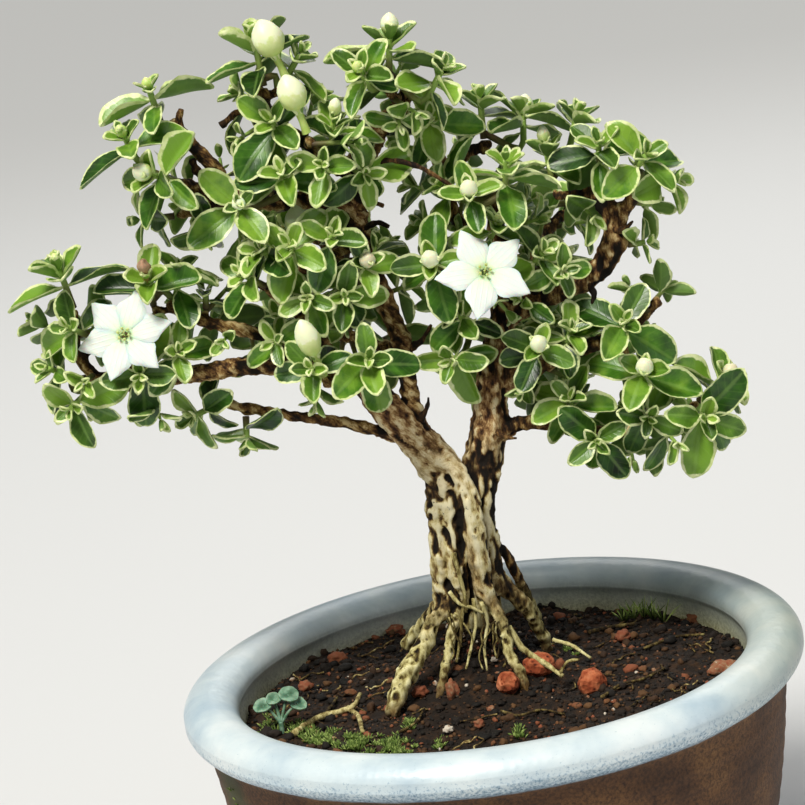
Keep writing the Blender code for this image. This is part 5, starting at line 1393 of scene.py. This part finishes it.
def add_bloom(pile, foot, facing, radius, lobes, turn, rng):
    """A funnel, its spreading lobes, a ring of anthers and a forked style."""
    funnel = [(0.0, 0.45), (1.2, 0.50), (2.4, 0.56), (3.3, 0.74), (4.0, 1.05), (4.5, 1.35), (4.66, 1.46),
              (4.62, 1.30), (4.2, 0.95), (3.5, 0.60), (2.9, 0.25)]
    points, faces = turned(funnel, foot, facing, 20)
    rise = np.repeat([min(0.22, along * 0.03) for along, _ in funnel], 20)
    pile.add(points, faces, PETAL, along=np.append(rise, [0.0, 0.0]))
    level = level_out(facing)
    throat = foot + facing * BLOOM_TUBE
    for k in range(lobes):
        out = Matrix.Rotation(math.radians(turn) + math.tau * k / lobes, 3, facing) @ level
        along = (out + facing * 0.14).normalized()
        droop = 0.12 + 0.03 * (k % 3)
        pile.lay(lobe(throat + out * 0.5, along, facing, radius - 0.5, radius * 0.66, droop, rng), PETAL)
    for k in range(lobes):
        out = Matrix.Rotation(math.radians(turn + 30) + math.tau * k / lobes, 3, facing) @ level
        base = throat + out * 0.75 - facing * 0.6
        tip = base + facing * 1.15 + out * 0.05
        pile.add(*tube([base, tip], [0.09, 0.09], 6), PETAL, along=0.16)
        pile.add(*turned(((0.0, 0.08), (0.25, 0.2), (0.55, 0.2), (0.8, 0.06)), tip - facing * 0.1, facing, 8),
                 BUD, along=0.3, ripe=0.35)
    side = facing.orthogonal().normalized()
    pile.add(*tube([throat - facing * 1.2, throat + facing * 0.8], [0.11, 0.10], 6), BUD, along=0.2, ripe=0.4)
    for sign in (-1, 1):
        pile.add(*tube([throat + facing * 0.7, throat + facing * 1.3 + side * 0.35 * sign], [0.10, 0.07], 6),
                 BUD, along=0.2, ripe=0.5)


# %% [markdown]
# ## Setting the flowers
# A flower is placed by its middle, which is what can be measured on the sheet, and the foot of its tube
# follows from the way it faces. Each is a piece of its own, because each stands for one CAD solid.

# %% Build the big buds and the blooms
rng = random.Random(5)
for number, (middle, faces_to, length, width) in enumerate(BIG_BUDS, 1):
    facing = heading(*faces_to)
    foot = at(*middle) - facing * (BUD_NECK + length / 2)
    pile = Pile()
    add_bud(pile, foot, facing, length, width, BUD_NECK, 0.44, 0.0, rng, 30, 0.5)
    place(f"swelling_bud_{number}", pile.mesh("swelling_bud", plant_skins, 75), "bud", [f"bud_{number}"])
for number, (middle, faces_to, radius, lobes, turn) in enumerate(BLOOMS, 1):
    facing = heading(*faces_to)
    foot = at(*middle) - facing * BLOOM_TUBE
    pile = Pile()
    add_bloom(pile, foot, facing, radius, lobes, turn, rng)
    place(f"white_bloom_{number}", pile.mesh("white_bloom", plant_skins + [petal_skin], 75), "petal",
          [f"bloom_{number}"])
print("big buds", len(BIG_BUDS), "blooms", len(BLOOMS))

# %% [markdown]
# ## Filling the crown
# A crown has more leaves than the solids can hold: a lower pair under most tufts, and short sprouts along the
# thin wood. Each may only open where there is room. The room is kept as a set of one millimetre cells that
# wood, leaves and buds have taken, because a set answers at once.

# %% Room for more leaves
def cells(points):
    """The one millimetre cells that hold these points."""
    return set(map(tuple, np.floor(np.asarray(points)).astype(int).tolist()))


def in_box(points):
    """Whether all points lie inside the box of the CAD part."""
    points = np.asarray(points) * MM
    low, high = np.array(cad_box[0]) + 0.2 * MM, np.array(cad_box[1]) - 0.2 * MM
    return bool((points > low).all() and (points < high).all())


taken = cells(wood_points)
for name, piece in pieces.items():
    if name.startswith(("leafy_shoot", "swelling_bud", "white_bloom")):
        taken |= cells([v.co / MM for v in piece.data.vertices])
print("cells taken", len(taken))

# %% [markdown]
# ## Growing more leaves
# A leaf is first made and then kept only if none of its points lies in a taken cell, outside the CAD box or
# in front of a flower. The part nearest its own stem may touch. A sprout needs four leaves that found room,
# or it would look plucked. Bare wood stays bare where the tree shows it: on the right fork and on the low
# left branch.

# %% Grow the extra leaves
# Stretches of the sheet (u, v to u, v) where the wood in front stays bare
BARE = ((31, 56, 58, 63), (83, 29, 92, 42), (46, 43, 76, 80), (23, 16, 33, 27), (76, 59, 84, 63),
        (22, 50.5, 39, 56))
SPROUTS = 120
SPROUT_SHARES = ((1.0, 80), (0.86, 62), (0.6, 44), (0.34, 24))


def hides_a_flower(points):
    """Whether a leaf would stand before a big bud or an open flower."""
    for point in points[::4]:
        u, v = seen_at(point)
        for middle, _, reach, *_ in BIG_BUDS + BLOOMS:
            if math.hypot(u - middle[0], v - middle[1]) < reach * 0.7 and point[1] < middle[2]:
                return True
    return False


def open_leaf(pile, root, along, upper, length, age, rng, start=0.3):
    """Adds a leaf if there is room for it. The first share of its length may touch its own stem."""
    width = length * rng.uniform(0.48, 0.58)
    shape = leaf(root, along, upper, length, width, rng, age, rng.uniform(0.05, 0.22))
    outer = shape[0][np.asarray(shape[2]["along"]) > start]
    if not (taken.isdisjoint(cells(outer)) and in_box(shape[0])) or hides_a_flower(shape[0]):
        return None
    # Painted shade: the extra leaves fill the inside of the crown, so their tone is lowered to darker greens
    shape[2]["own"] *= 0.7
    pile.lay(shape, LEAF)
    return outer


def grow_sprout(pile, foot, grows, length, rng):
    """A short stem with up to four pairs of leaves. It is left out where fewer than four leaves find room."""
    heart = foot + grows * rng.uniform(1.4, 3.0)
    side = grows.orthogonal().normalized()
    turn = rng.uniform(0, 180)
    trial, found = Pile(), []
    for rank, (share, opening) in enumerate(SPROUT_SHARES):
        for which in (0, 1):
            swing = math.radians(turn + 90 * rank + 180 * which + rng.uniform(-14, 14))
            out = Matrix.Rotation(swing, 3, grows) @ side
            along, upper = opened(grows, out, math.radians(opening + rng.uniform(-8, 8)))
            root = heart + grows * (0.85 * rank) + along * 0.1
            outer = open_leaf(trial, root, along, upper, length * share, 1.0 - 0.22 * rank, rng)
            if outer is not None:
                found.append(outer)
    if len(found) < 4 or not taken.isdisjoint(cells([heart, heart + grows * 1.5])):
        return 0
    points, radii = smooth_line([foot - grows * 0.4, heart, heart + grows * 2.6], [0.42, 0.34, 0.22], 3)
    height = np.repeat(np.linspace(0.0, 1.0, len(points)), 7)
    trial.add(*tube(points, radii, 7), STEM, along=np.append(height, [0.0, 1.0]))
    pile.join(trial)
    taken.update(cells(points), *map(cells, found))
    return len(found)


rng = random.Random(33)
extra_pile = Pile()
under_pairs = sprout_leaves = 0
for shoot in tufts:
    for tuft in shoot:
        for which in (0, 1):
            for _ in range(6):
                out = tuft.radial(90 + 180 * which + rng.uniform(-40, 40))
                along, upper = opened(tuft.grows, out, math.radians(rng.uniform(92, 122)))
                root = tuft.heart - tuft.grows * 0.8 + along * 0.2
                length = tuft.lengths[0] * rng.uniform(0.7, 1.0)
                outer = open_leaf(extra_pile, root, along, upper, length, 1.0, rng)
                if outer is not None:
                    taken |= cells(outer)
                    under_pairs += 1
                    break
place("lower_leaves", extra_pile.mesh("lower_leaves", plant_skins, 75), "leaf")

sprout_pile = Pile()
sprouts = 0
for index in rng.sample(range(len(wood_points)), 9000):
    foot = Vector(wood_points[index])
    u, v = seen_at(foot)
    in_front = foot.y < 9 and any(a < u < c and b < v < d for a, b, c, d in BARE)
    if thickness[index] > 2.7 or foot.z < 66 or in_front or sprouts == SPROUTS:
        continue
    away = Vector(wood_normals[index])
    drift = Vector((rng.gauss(0, 0.35), rng.gauss(0, 0.35), rng.gauss(0.35, 0.3)))
    grown = grow_sprout(sprout_pile, foot, (away + drift).normalized(), rng.uniform(4.6, 8.0), rng)
    sprout_leaves += grown
    sprouts += grown > 0
place("crown_sprouts", sprout_pile.mesh("crown_sprouts", plant_skins, 75), "leaf")
print("lower leaves", under_pairs, "sprouts", sprouts, "with leaves", sprout_leaves)

# %% [markdown]
# ## The soil
# The soil is dark loam mixed with grit, a little higher round the trunk. Its body keeps the CAD soil's
# surface formula, with finer waves laid on it. The same formula gives every crumb, stone and root the height
# it lies at.

# %% Soil surface
GRIT_BED = 0.45
SOIL_REACH = 36.4
SOIL_SPOKES = 240


def fine_height(x, y):
    """The level of the loam that the grit lies in, with grains of one to two millimetres on it."""
    lumps = noise.noise(Vector((x * 0.75, y * 0.75, 8.2)))
    grains = noise.noise(Vector((x * 1.9, y * 1.9, 3.3)))
    return soil_height(x, y) - GRIT_BED + 0.30 * lumps + 0.22 * grains


def on_soil(u, v, rise=0.0):
    """The place seen at (u, v) on the sheet that lies rise above the soil, found by halving."""
    near, far = -40.0, 40.0
    for _ in range(40):
        y = (near + far) / 2
        point = at(u, v, y)
        if point.z > soil_height(point.x, point.y) + rise:
            near = y
        else:
            far = y
    return at(u, v, (near + far) / 2)


BELOW = ((19.6, 6.9), (25.2, 8.9), (32.0, 18.4), (SOIL_REACH - 0.2, 40.0))
soil_points = [(r * c, r * s, z) for r, z in BELOW for c, s in round_steps(SOIL_SPOKES)]
reaches = np.arange(SOIL_REACH, 0.2, -0.5)
for r in reaches:
    soil_points += [(r * c, r * s, fine_height(r * c, r * s)) for c, s in round_steps(SOIL_SPOKES)]
soil_points += [(0, 0, 6.9), (0, 0, fine_height(0, 0))]
soil_pile = Pile()
soil_pile.add(soil_points, tube_faces(len(BELOW) + len(reaches), SOIL_SPOKES))
print("soil rows", len(reaches), "top", round(max(p[2] for p in soil_points), 1), "mm")

# %% [markdown]
# ## Soil, crumb and moss finishes
# Wet loam is nearly black with brown lights, and quite matt. Crumbs carry a mark of their own that picks
# their tone from a ramp: mostly dark, some red brown, a few tan or white, as grit is. Moss and the small
# sprout are fresh green.

# %% Soil and moss finish
soil_skin, soil_shader = new_skin("damp_loam", Roughness=0.88, Specular_IOR_Level=0.35)
where = on_object(soil_skin)
clod = clouds_of(where, 2.2, 6.0, 0.7)
clod_normals = bumpy(clod, 0.7, 1.0)
join(soil_skin, soil_shader,
     Base_Color=ramp(clod, (0.30, "0a0602"), (0.50, "1d1208"), (0.64, "382411"), (0.80, "66472a")),
     Normal=bumpy(cells_of(where, 1.2), 0.3, 0.8, Normal=clod_normals))

crumb_skin, crumb_shader = new_skin("loose_grit", Roughness=0.82, Specular_IOR_Level=0.4)
own_mark, = marked(crumb_skin, "own")
pits = clouds_of(on_object(crumb_skin), 0.5)
tone = ramp(scaled(pits, 0.12, own_mark), (0.05, "090602"), (0.45, "1f1308"),
            (0.70, "3f2813"), (0.86, "634425"), (0.955, "8a4a30"), (0.985, "8d6a4c"), (1.0, "cabfae"))
join(crumb_skin, crumb_shader, Base_Color=tone, Normal=bumpy(pits, 0.2, 0.8))

moss_skin, moss_shader = new_skin("cushion_moss", Roughness=0.7, IOR=1.4)
own_mark, = marked(moss_skin, "own")
join(moss_skin, moss_shader,
     Base_Color=ramp(own_mark, (0.0, "26340f"), (0.5, "577027"), (0.9, "a3b564")))

place("loam", soil_pile.mesh("loam", [soil_skin]), "soil", ["soil"])
print("finishes for soil, grit and moss")

# %% [markdown]
# ## Loose crumbs
# What makes soil read as soil is the loose stuff on top. One crumb is a small ball pushed about by noise. A
# few dozen different ones are reused, turned and scaled, small ones often and large ones seldom, and nobody
# sees the repeat.

# %% Scatter the crumbs
WHITE_SHARE = 0.004


def ball(detail):
    """Points and triangles of an even ball of radius 1."""
    shape = bmesh.new()
    bmesh.ops.create_icosphere(shape, subdivisions=detail, radius=1.0)
    points = [vertex.co.copy() for vertex in shape.verts]
    faces = np.array([[v.index for v in f.verts] + [-1] for f in shape.faces])
    shape.free()
    return points, faces


def lumps(count, detail, seed):
    """Different rough lumps of radius 1, as points and faces."""
    made = []
    spots, faces = ball(detail)
    for k in range(count):
        offset = Vector((seed + k * 3.7, k * 1.3, 0))
        points = [spot * (1 + 0.55 * noise.noise(spot * 1.2 + offset)
                          + 0.25 * noise.noise(spot * 2.9 + offset)) for spot in spots]
        made.append((np.array(points), faces))
    return made


def scatter(pile, kinds, count, smallest, largest, rng, lift=0.25):
    """Drops lumps on the soil, small ones more often than large ones."""
    for _ in range(count):
        radius = SOIL_REACH * math.sqrt(rng.random())
        angle = rng.uniform(0, math.tau)
        x, y = radius * math.cos(angle), radius * math.sin(angle)
        size = smallest + (largest - smallest) * rng.random() ** 2.2
        turn = rng.uniform(0, math.tau)
        turn = np.array(Matrix.Rotation(turn, 3, Vector([rng.gauss(0, 1) for _ in "xyz"])))
        flat = np.array((rng.uniform(0.7, 1.2), rng.uniform(0.7, 1.2), rng.uniform(0.5, 0.9))) * size
        points, faces = kinds[rng.randrange(len(kinds))]
        spot = np.array((x, y, fine_height(x, y) + lift * size))
        own = 1.0 if rng.random() < WHITE_SHARE else 0.93 * rng.random() ** 1.3
        pile.add((points @ turn.T) * flat + spot, faces, own=own)


rng = random.Random(11)
crumb_pile = Pile()
scatter(crumb_pile, lumps(24, 2, 1.0), 650, 0.40, 1.0, rng)
scatter(crumb_pile, lumps(24, 1, 50.0), 5600, 0.14, 0.48, rng)
kinds = lumps(24, 1, 90.0)
earthy_spots = np.flatnonzero(earthy > 0.35)
for index in rng.sample(earthy_spots.tolist(), min(900, len(earthy_spots))):
    points, faces = kinds[rng.randrange(len(kinds))]
    spot = wood_points[index] + wood_normals[index] * 0.05
    crumb_pile.add(points * rng.uniform(0.14, 0.42) + spot, faces, own=rng.random() ** 1.6)
crumbs = place("loose_crumbs", crumb_pile.mesh("loose_crumbs", [crumb_skin]), "soil")
print("crumb faces", len(crumbs.data.polygons))

# %% [markdown]
# ## Pumice pebbles
# Three lumps of red-orange pumice lie by the roots. Pumice is frozen foam, so it is matt and full of open
# cells: the larger ones are real dents, drawn by the distance to scattered points, and the smaller ones a
# bump.

# %% Pebbles
stone_skin, stone_shader = new_skin("red_pumice", Roughness=0.9, Specular_IOR_Level=0.3)
where = on_object(stone_skin)
pit_shade_mark, = marked(stone_skin, "hollow")
# Painted shade: the deeper a pit, the darker its tone
tone = ramp(scaled(pit_shade_mark, -0.55, clouds_of(where, 1.6, 5.0)),
            (0.22, "3a150b"), (0.40, "8c4124"), (0.55, "b86843"), (0.78, "da936c"))
join(stone_skin, stone_shader, Base_Color=tone,
     Normal=bumpy(cells_of(where, 0.8), 0.3, 1.0))

PEBBLES = (
    (76.9, 95.0, (2.5, 1.9, 1.7), 3),
    (72.6, 97.6, (1.6, 1.5, 1.7), 5),
    (84.6, 97.6, (2.0, 1.8, 2.2), 8),
)


def stone(centre, half, seed, detail, lumpy=0.14):
    """Points, faces and pit depths of a rough stone with the CAD pebble's lumps."""
    spots, faces = ball(detail)
    points, pits = [], []
    for spot in spots:
        lump = 1 + lumpy * noise.noise(spot * 1.7 + Vector((seed, 0, 0)))
        cell = noise.voronoi(spot * 3.2 + Vector((0, seed, 0)))[0]
        pit = max(0.0, 1 - cell[0] / max(cell[1], 0.01) * 2.2)
        rough = 0.035 * noise.noise(spot * 6 + Vector((0, 0, seed)))
        points.append(centre + Vector([c * h for c, h in zip(spot, half)]) * (lump - 0.10 * pit + rough))
        pits.append(pit)
    return points, faces, pits


for number, (u, v, half, seed) in enumerate(PEBBLES, 1):
    points, faces, pits = stone(on_soil(u, v, half[2] * 0.35), half, seed, 4)
    pile = Pile()
    pile.add(points, faces, hollow=pits)
    place(f"pumice_{number}", pile.mesh("pumice", [stone_skin]), "pebble", [f"pebble_{number}"])
print("pebbles", len(PEBBLES))

# %% [markdown]
# ## The seedling
# The self-sown seedling has round blue-green leaflets on pale stalks. A leaflet is turned from a profile with
# an upper and a lower side, which gives it its thickness. Small scallops and a slow wave round its edge keep
# the four from looking stamped.

# %% Seedling
seedling_skin, seedling_shader = new_skin("seedling_leaf", Roughness=0.5, IOR=1.42, Subsurface_Weight=0.2,
                                          Subsurface_Scale=0.0006)
blotch = clouds_of(on_object(seedling_skin), 1.1)
along_mark, = marked(seedling_skin, "along")
tone = ramp(scaled(along_mark, 0.35, blotch),
            (0.34, "28482f"), (0.62, "4a7257"), (0.90, "88a98e"))
join(seedling_skin, seedling_shader, Base_Color=tone, Normal=bumpy(blotch, 0.08, 0.6))

SEEDLING = (40.3, 104.2)
LEAFLETS = ((-2.6, 2.2, 1.3), (-1.0, 3.2, 1.1), (1.1, 3.8, 1.4), (2.5, 2.5, 1.2))


def round_leaflet(centre, facing, radius):
    """Points, faces and marks of a thick round leaflet, scalloped at its edge and dished in the middle."""
    side = facing.orthogonal().normalized()
    across = facing.cross(side)
    sides = 26
    rows = [(share * radius, 0.16 - 0.20 * (1 - share ** 2) + 0.06 * math.sqrt(max(0, 1 - share ** 6)))
            for share in (0.12, 0.35, 0.6, 0.8, 0.93, 0.99, 1.0)]
    rows += [(share * radius, -0.16 - 0.16 * (1 - share ** 2)) for share in (0.97, 0.8, 0.5, 0.15)]
    points = []
    for reach, height in rows:
        for k, (c, s) in enumerate(round_steps(sides)):
            angle = math.tau * k / sides
            scallop = 1 + 0.07 * abs(math.sin(3.5 * angle)) * (reach / radius) ** 3
            wave = 0.12 * math.sin(2 * angle + radius * 5) * (reach / radius) ** 2
            points.append(centre + (side * c + across * s) * reach * scallop + facing * (height + wave))
    points += [centre + facing * rows[0][1], centre + facing * rows[-1][1]]
    tone = [reach / radius for reach, _ in rows for _ in range(sides)] + [0.0, 0.2]
    return points, tube_faces(len(rows), sides), tone


base = on_soil(*SEEDLING)
neck = base + Vector((0, 0, 1.2))
seedling_pile = Pile()
stalk = smooth_line([base - Vector((0, 0, 2.0)), base, neck], [0.36, 0.36, 0.32], 4)
seedling_pile.add(*tube(*stalk, 10), along=0.9)
for right, up, size in LEAFLETS:
    tip = neck + SHEET_RIGHT * right + SHEET_UP * up
    knee = neck.lerp(tip, 0.5) + Vector((0, 0, 0.25))
    stalk = smooth_line([neck - Vector((0, 0, 0.3)), knee, tip], [0.26, 0.2, 0.16], 5)
    seedling_pile.add(*tube(*stalk, 8), along=0.8)
    points, faces, marks = round_leaflet(tip, heading(0.1 * right, 0.8, 0.7), size)
    seedling_pile.add(points, faces, along=marks)
place("round_leaved_seedling", seedling_pile.mesh("seedling", [seedling_skin]), "seedling", ["seedling"])
print("seedling leaflets", len(LEAFLETS))

# %% [markdown]
# ## Fine roots and bare twigs
# Feeding roots as thin as thread hang under the trunk and run over the soil, pale where they are young. Bare
# twigs, thorny stubs and one long runner stand among the leaves. All are knotty tubes along a few measured
# points, with the marks that the bark's finish reads.

# %% Fine roots and bare twigs
# Points (u, v, y, radius) of the hanging roots, (u, v) and radius of those that lie on the soil
HANGING_ROOTS = (
    ((66.6, 85.0, -0.6, 0.42), (66.0, 88.0, -0.8, 0.36), (65.8, 91.0, -1.2, 0.32), (65.2, 94.6, -2.4, 0.24)),
    ((67.6, 85.5, -0.4, 0.36), (68.0, 89.0, -0.6, 0.32), (67.4, 92.0, -1.4, 0.28), (66.6, 95.6, -3.0, 0.2)),
    ((68.8, 86.0, -0.6, 0.40), (69.6, 89.0, -0.4, 0.34), (69.2, 92.4, -1.2, 0.26), (69.6, 95.8, -2.6, 0.2)),
    ((64.2, 84.5, 0.4, 0.40), (65.6, 86.2, -0.6, 0.36), (67.4, 86.8, -0.9, 0.32), (69.0, 87.6, -0.8, 0.25)),
    ((64.8, 79.0, -0.6, 0.45), (65.6, 82.0, -0.7, 0.4), (66.4, 85.0, -0.9, 0.35), (66.6, 87.5, -0.9, 0.25)),
    ((72.6, 89.5, 0.2, 0.62), (74.6, 92.6, -0.6, 0.55), (77.6, 94.6, -2.2, 0.5), (80.4, 96.6, -4.2, 0.4)),
    ((80.0, 96.2, -4.0, 0.34), (81.0, 94.6, -3.4, 0.3), (82.8, 94.2, -3.6, 0.24)),
    ((79.0, 91.4, 5.6, 0.4), (81.6, 92.2, 4.0, 0.36), (84.4, 94.0, 1.6, 0.26)),
)
SURFACE_ROOTS = (
    (((42.0, 104.8), (44.2, 103.2), (46.4, 102.2), (48.8, 101.6), (50.6, 100.8), (51.4, 99.2)), 0.50),
    (((49.8, 101.2), (51.2, 102.4), (51.8, 104.6)), 0.40),
    (((46.2, 102.2), (47.4, 100.8), (48.2, 99.6)), 0.28),
    (((84.0, 90.4), (87.0, 89.6), (91.6, 89.0)), 0.34),
    (((57.0, 104.6), (59.4, 103.2), (60.6, 101.2)), 0.22),
    (((86.0, 99.6), (88.6, 97.8), (91.8, 97.0), (95.0, 95.4)), 0.24),
    (((71.6, 101.6), (74.2, 102.2), (77.4, 101.4), (80.6, 102.0)), 0.22),
    (((92.0, 92.6), (96.4, 91.0), (100.6, 90.6)), 0.24),
)
BARE_TWIGS = (
    ((50.4, 24.6, 3.6, 0.5), (54.0, 23.2, 1.0, 0.4), (58.0, 23.2, 0.0, 0.36), (62.0, 25.0, -0.6, 0.3),
     (65.4, 27.2, -0.8, 0.22)),
    ((51.0, 30.0, 5.4, 0.6), (53.0, 29.0, 4.0, 0.42), (54.8, 29.4, 3.2, 0.26)),
    ((51.6, 33.0, 6.0, 0.55), (53.8, 31.8, 4.6, 0.4), (55.6, 32.4, 4.0, 0.24)),
    ((70.6, 61.6, 2.0, 0.6), (72.2, 62.4, 0.6, 0.36), (73.8, 62.6, 0.0, 0.14)),
    ((36.0, 40.4, -0.6, 0.42), (38.6, 41.4, -1.6, 0.4), (41.0, 43.2, -1.8, 0.4)),
    ((31.6, 18.0, 3.2, 0.55), (33.8, 16.2, 3.0, 0.45), (36.4, 15.2, 3.4, 0.4)),
    ((26.6, 19.8, 1.4, 0.6), (25.6, 17.2, 0.8, 0.5), (25.8, 15.6, 0.6, 0.42)),
    ((29.4, 25.6, 1.8, 0.7), (28.0, 24.2, 0.4, 0.6), (27.4, 22.8, 0.0, 0.4)),
    ((88.0, 33.0, 2.8, 0.6), (89.4, 32.6, 1.6, 0.4), (90.4, 31.6, 1.0, 0.2)),
    ((84.0, 40.2, 3.4, 0.6), (84.8, 42.0, 2.4, 0.45), (84.6, 43.4, 2.0, 0.25)),
    ((58.4, 50.0, 4.4, 0.6), (60.4, 48.4, 3.4, 0.4), (61.6, 46.4, 3.0, 0.2)),
    ((60.0, 60.0, 1.6, 0.5), (61.0, 58.2, 0.8, 0.34), (61.2, 56.8, 0.6, 0.16)),
)


def knotty(points, radii, rng, steps=5, sides=9, knots=0.22):
    """A tube through a few points, with knots and wrinkles along it."""
    points, radii = smooth_line(points, radii, steps)
    shape, faces = tube(points, radii, sides)
    shape = np.array(shape)
    middles = np.array(points).repeat(sides, 0)
    offset = Vector((rng.uniform(0, 50), 0, 0))
    swell = np.array([1 + knots * 2 * noise.noise(Vector(p) * 1.1 + offset) for p in shape[:len(middles)]])
    shape[:len(middles)] = middles + (shape[:len(middles)] - middles) * swell[:, None]
    return shape, faces


def add_wooden(pile, shape, rng, root, old, flake=(0.2, 0.8)):
    """Adds a tube with the marks of bark: how much of a root it is, how old and how flaky."""
    points, faces = shape
    pile.add(points, faces, hollow=rng.uniform(-0.06, 0.06), valley=0.0, old=old, root=root, earth=0.0,
             flake=rng.uniform(*flake), buried=0.0, cord=0.0, grain_right=points[:, 0] * MM,
             grain_up=points[:, 2] * GRAIN_SHARE * MM)


def measured(row):
    """The places and radii of a row of (u, v, y, radius)."""
    return [at(u, v, y) for u, v, y, _ in row], np.array(row)[:, 3]


rng = random.Random(8)
root_pile = Pile()
for row in HANGING_ROOTS:
    line, radii = measured(row)
    add_wooden(root_pile, knotty(line, radii * 0.8, rng), rng, 1.0, 1.0, (0.8, 1.2))
for _ in range(9):
    u, v, y = rng.uniform(64.0, 71.5), rng.uniform(85.5, 89.0), rng.uniform(-1.2, 0.4)
    line = []
    for _ in range(rng.randint(5, 7)):
        line.append(at(u, v, y))
        u, v, y = u + rng.gauss(0, 0.45), v + rng.uniform(0.7, 1.5), y - rng.uniform(0.0, 0.7)
    shape = knotty(line, [rng.uniform(0.09, 0.16)] * len(line), rng, 4, 6)
    add_wooden(root_pile, shape, rng, 1.0, 1.0, (0.3, 0.9))
for spots, radius in SURFACE_ROOTS:
    line = [on_soil(u, v, radius * 0.4) for u, v in spots]
    shape = knotty(line, [radius * (1 - 0.4 * i / len(line)) for i in range(len(line))], rng)
    add_wooden(root_pile, shape, rng, 0.7, 0.8)
for _ in range(64):
    radius = SOIL_REACH * math.sqrt(rng.uniform(0.02, 0.92))
    angle, heading_to = rng.uniform(0, math.tau), rng.uniform(0, math.tau)
    x, y = radius * math.cos(angle), radius * math.sin(angle)
    line = []
    for _ in range(rng.randint(4, 8)):
        line.append(Vector((x, y, fine_height(x, y) + rng.uniform(0.2, 0.6))))
        heading_to += rng.gauss(0, 0.5)
        x, y = x + 0.9 * math.cos(heading_to), y + 0.9 * math.sin(heading_to)
        if math.hypot(x, y) > SOIL_REACH - 0.5:
            break
    if len(line) > 3:
        add_wooden(root_pile, knotty(line, [0.13] * len(line), rng, 3, 5), rng, rng.uniform(0.0, 0.7), 1.0)
place("fine_roots", root_pile.mesh("fine_roots", [bark_skin]), "bark")

twig_pile = Pile()
for row in BARE_TWIGS:
    add_wooden(twig_pile, knotty(*measured(row), rng, 6, 10, 0.3), rng, 0.0, 0.1)
place("bare_twigs", twig_pile.mesh("bare_twigs", [bark_skin]), "bark")
print("hanging roots", len(HANGING_ROOTS), "surface roots", len(SURFACE_ROOTS), "bare twigs", len(BARE_TWIGS))

# %% [markdown]
# ## Moss and small stones
# A cushion of moss is a dozen thin blades, upright in the middle and leaning at its edge. Longer blades make
# the grassy sprout behind the roots. One group of cushions clings to the outer wall under the rim, where the
# clay stays damp. A few stray stones are grey and tan grit.

# %% Moss, sprout and stray stones
# Spots (u, v) of the moss, how far it spreads and how many cushions
MOSS = ((46.5, 105.4, 2.4, 34), (51.0, 106.0, 2.6, 40), (56.0, 106.4, 2.6, 34), (43.0, 104.4, 2.2, 28),
        (38.8, 103.2, 1.8, 16),
        (59.0, 103.6, 0.9, 6), (74.0, 105.0, 1.2, 7), (81.4, 93.0, 1.0, 5), (63.0, 105.6, 1.2, 6))
SPROUT = ((90.5, 88.3), (92.0, 88.1), (93.4, 88.4), (94.8, 88.8), (89.2, 88.8))
# (u, v, half sizes, tone from dark 0 to pale 1, seed)
STRAYS = (
    (64.6, 98.6, (1.0, 1.0, 1.5), 0.91, 1), (60.0, 98.8, (1.1, 1.0, 0.9), 0.88, 2),
    (68.4, 103.4, (0.8, 0.7, 0.6), 0.9, 3), (64.0, 104.2, (0.7, 0.6, 0.5), 0.95, 4),
    (103.6, 95.4, (2.2, 1.4, 1.1), 0.91, 5), (56.4, 90.2, (1.6, 1.2, 1.0), 0.9, 6),
    (48.2, 94.0, (1.3, 1.1, 0.9), 0.86, 7), (43.6, 98.0, (1.1, 1.0, 0.8), 0.9, 8),
    (70.6, 94.2, (0.5, 0.4, 0.4), 1.1, 9), (99.6, 88.2, (1.6, 1.3, 0.9), 0.84, 10),
    (89.0, 90.8, (1.2, 1.3, 0.8), 0.89, 12),
)


def cushion(pile, spot, blades, length, rng):
    """A tuft of pointed blades, upright in the middle and leaning at its edge."""
    for _ in range(blades):
        lean = Vector((rng.gauss(0, 0.45), rng.gauss(0, 0.45), 1)).normalized()
        foot = spot + Vector((lean.x, lean.y, 0)) * 0.5
        tip = foot + lean * length * rng.uniform(0.6, 1.2)
        bend = foot.lerp(tip, 0.5) + Vector((0, 0, 0.08 * length))
        own = min(1.0, max(0.0, rng.gauss(0.5, 0.25)))
        pile.add(*tube([foot, bend, tip], [0.11, 0.10, 0.03], 4), own=own)


rng = random.Random(14)
moss_pile = Pile()
for u, v, spread, count in MOSS:
    for _ in range(count):
        spot = on_soil(u + rng.gauss(0, spread * 0.5), v + rng.gauss(0, 0.7))
        spot.z = fine_height(spot.x, spot.y)
        if math.hypot(spot.x, spot.y) < SOIL_REACH - 0.4:
            cushion(moss_pile, spot, 14, rng.uniform(0.6, 1.1), rng)
for u, v in SPROUT:
    cushion(moss_pile, on_soil(u, v), 12, rng.uniform(2.2, 3.4), rng)
# One tuft clings to the outer wall, under the rim
for _ in range(12):
    outwards = Vector((WALL_TUFT.x, WALL_TUFT.y, 0)).normalized()
    sideways = Vector((-outwards.y, outwards.x, 0))
    spot = WALL_TUFT + sideways * rng.gauss(0, 0.9) + Vector((0, 0, rng.gauss(0, 1.1))) - outwards * 0.2
    cushion(moss_pile, spot, 7, rng.uniform(0.7, 1.2), rng)
place("moss", moss_pile.mesh("moss", [moss_skin]), "seedling")
stray_pile = Pile()
for u, v, half, tone_value, seed in STRAYS:
    points, faces, _ = stone(on_soil(u, v, half[2] * 0.2), half, seed, 3, 0.5)
    stray_pile.add(points, faces, own=tone_value)
place("stray_stones", stray_pile.mesh("stray_stones", [crumb_skin]), "pebble")
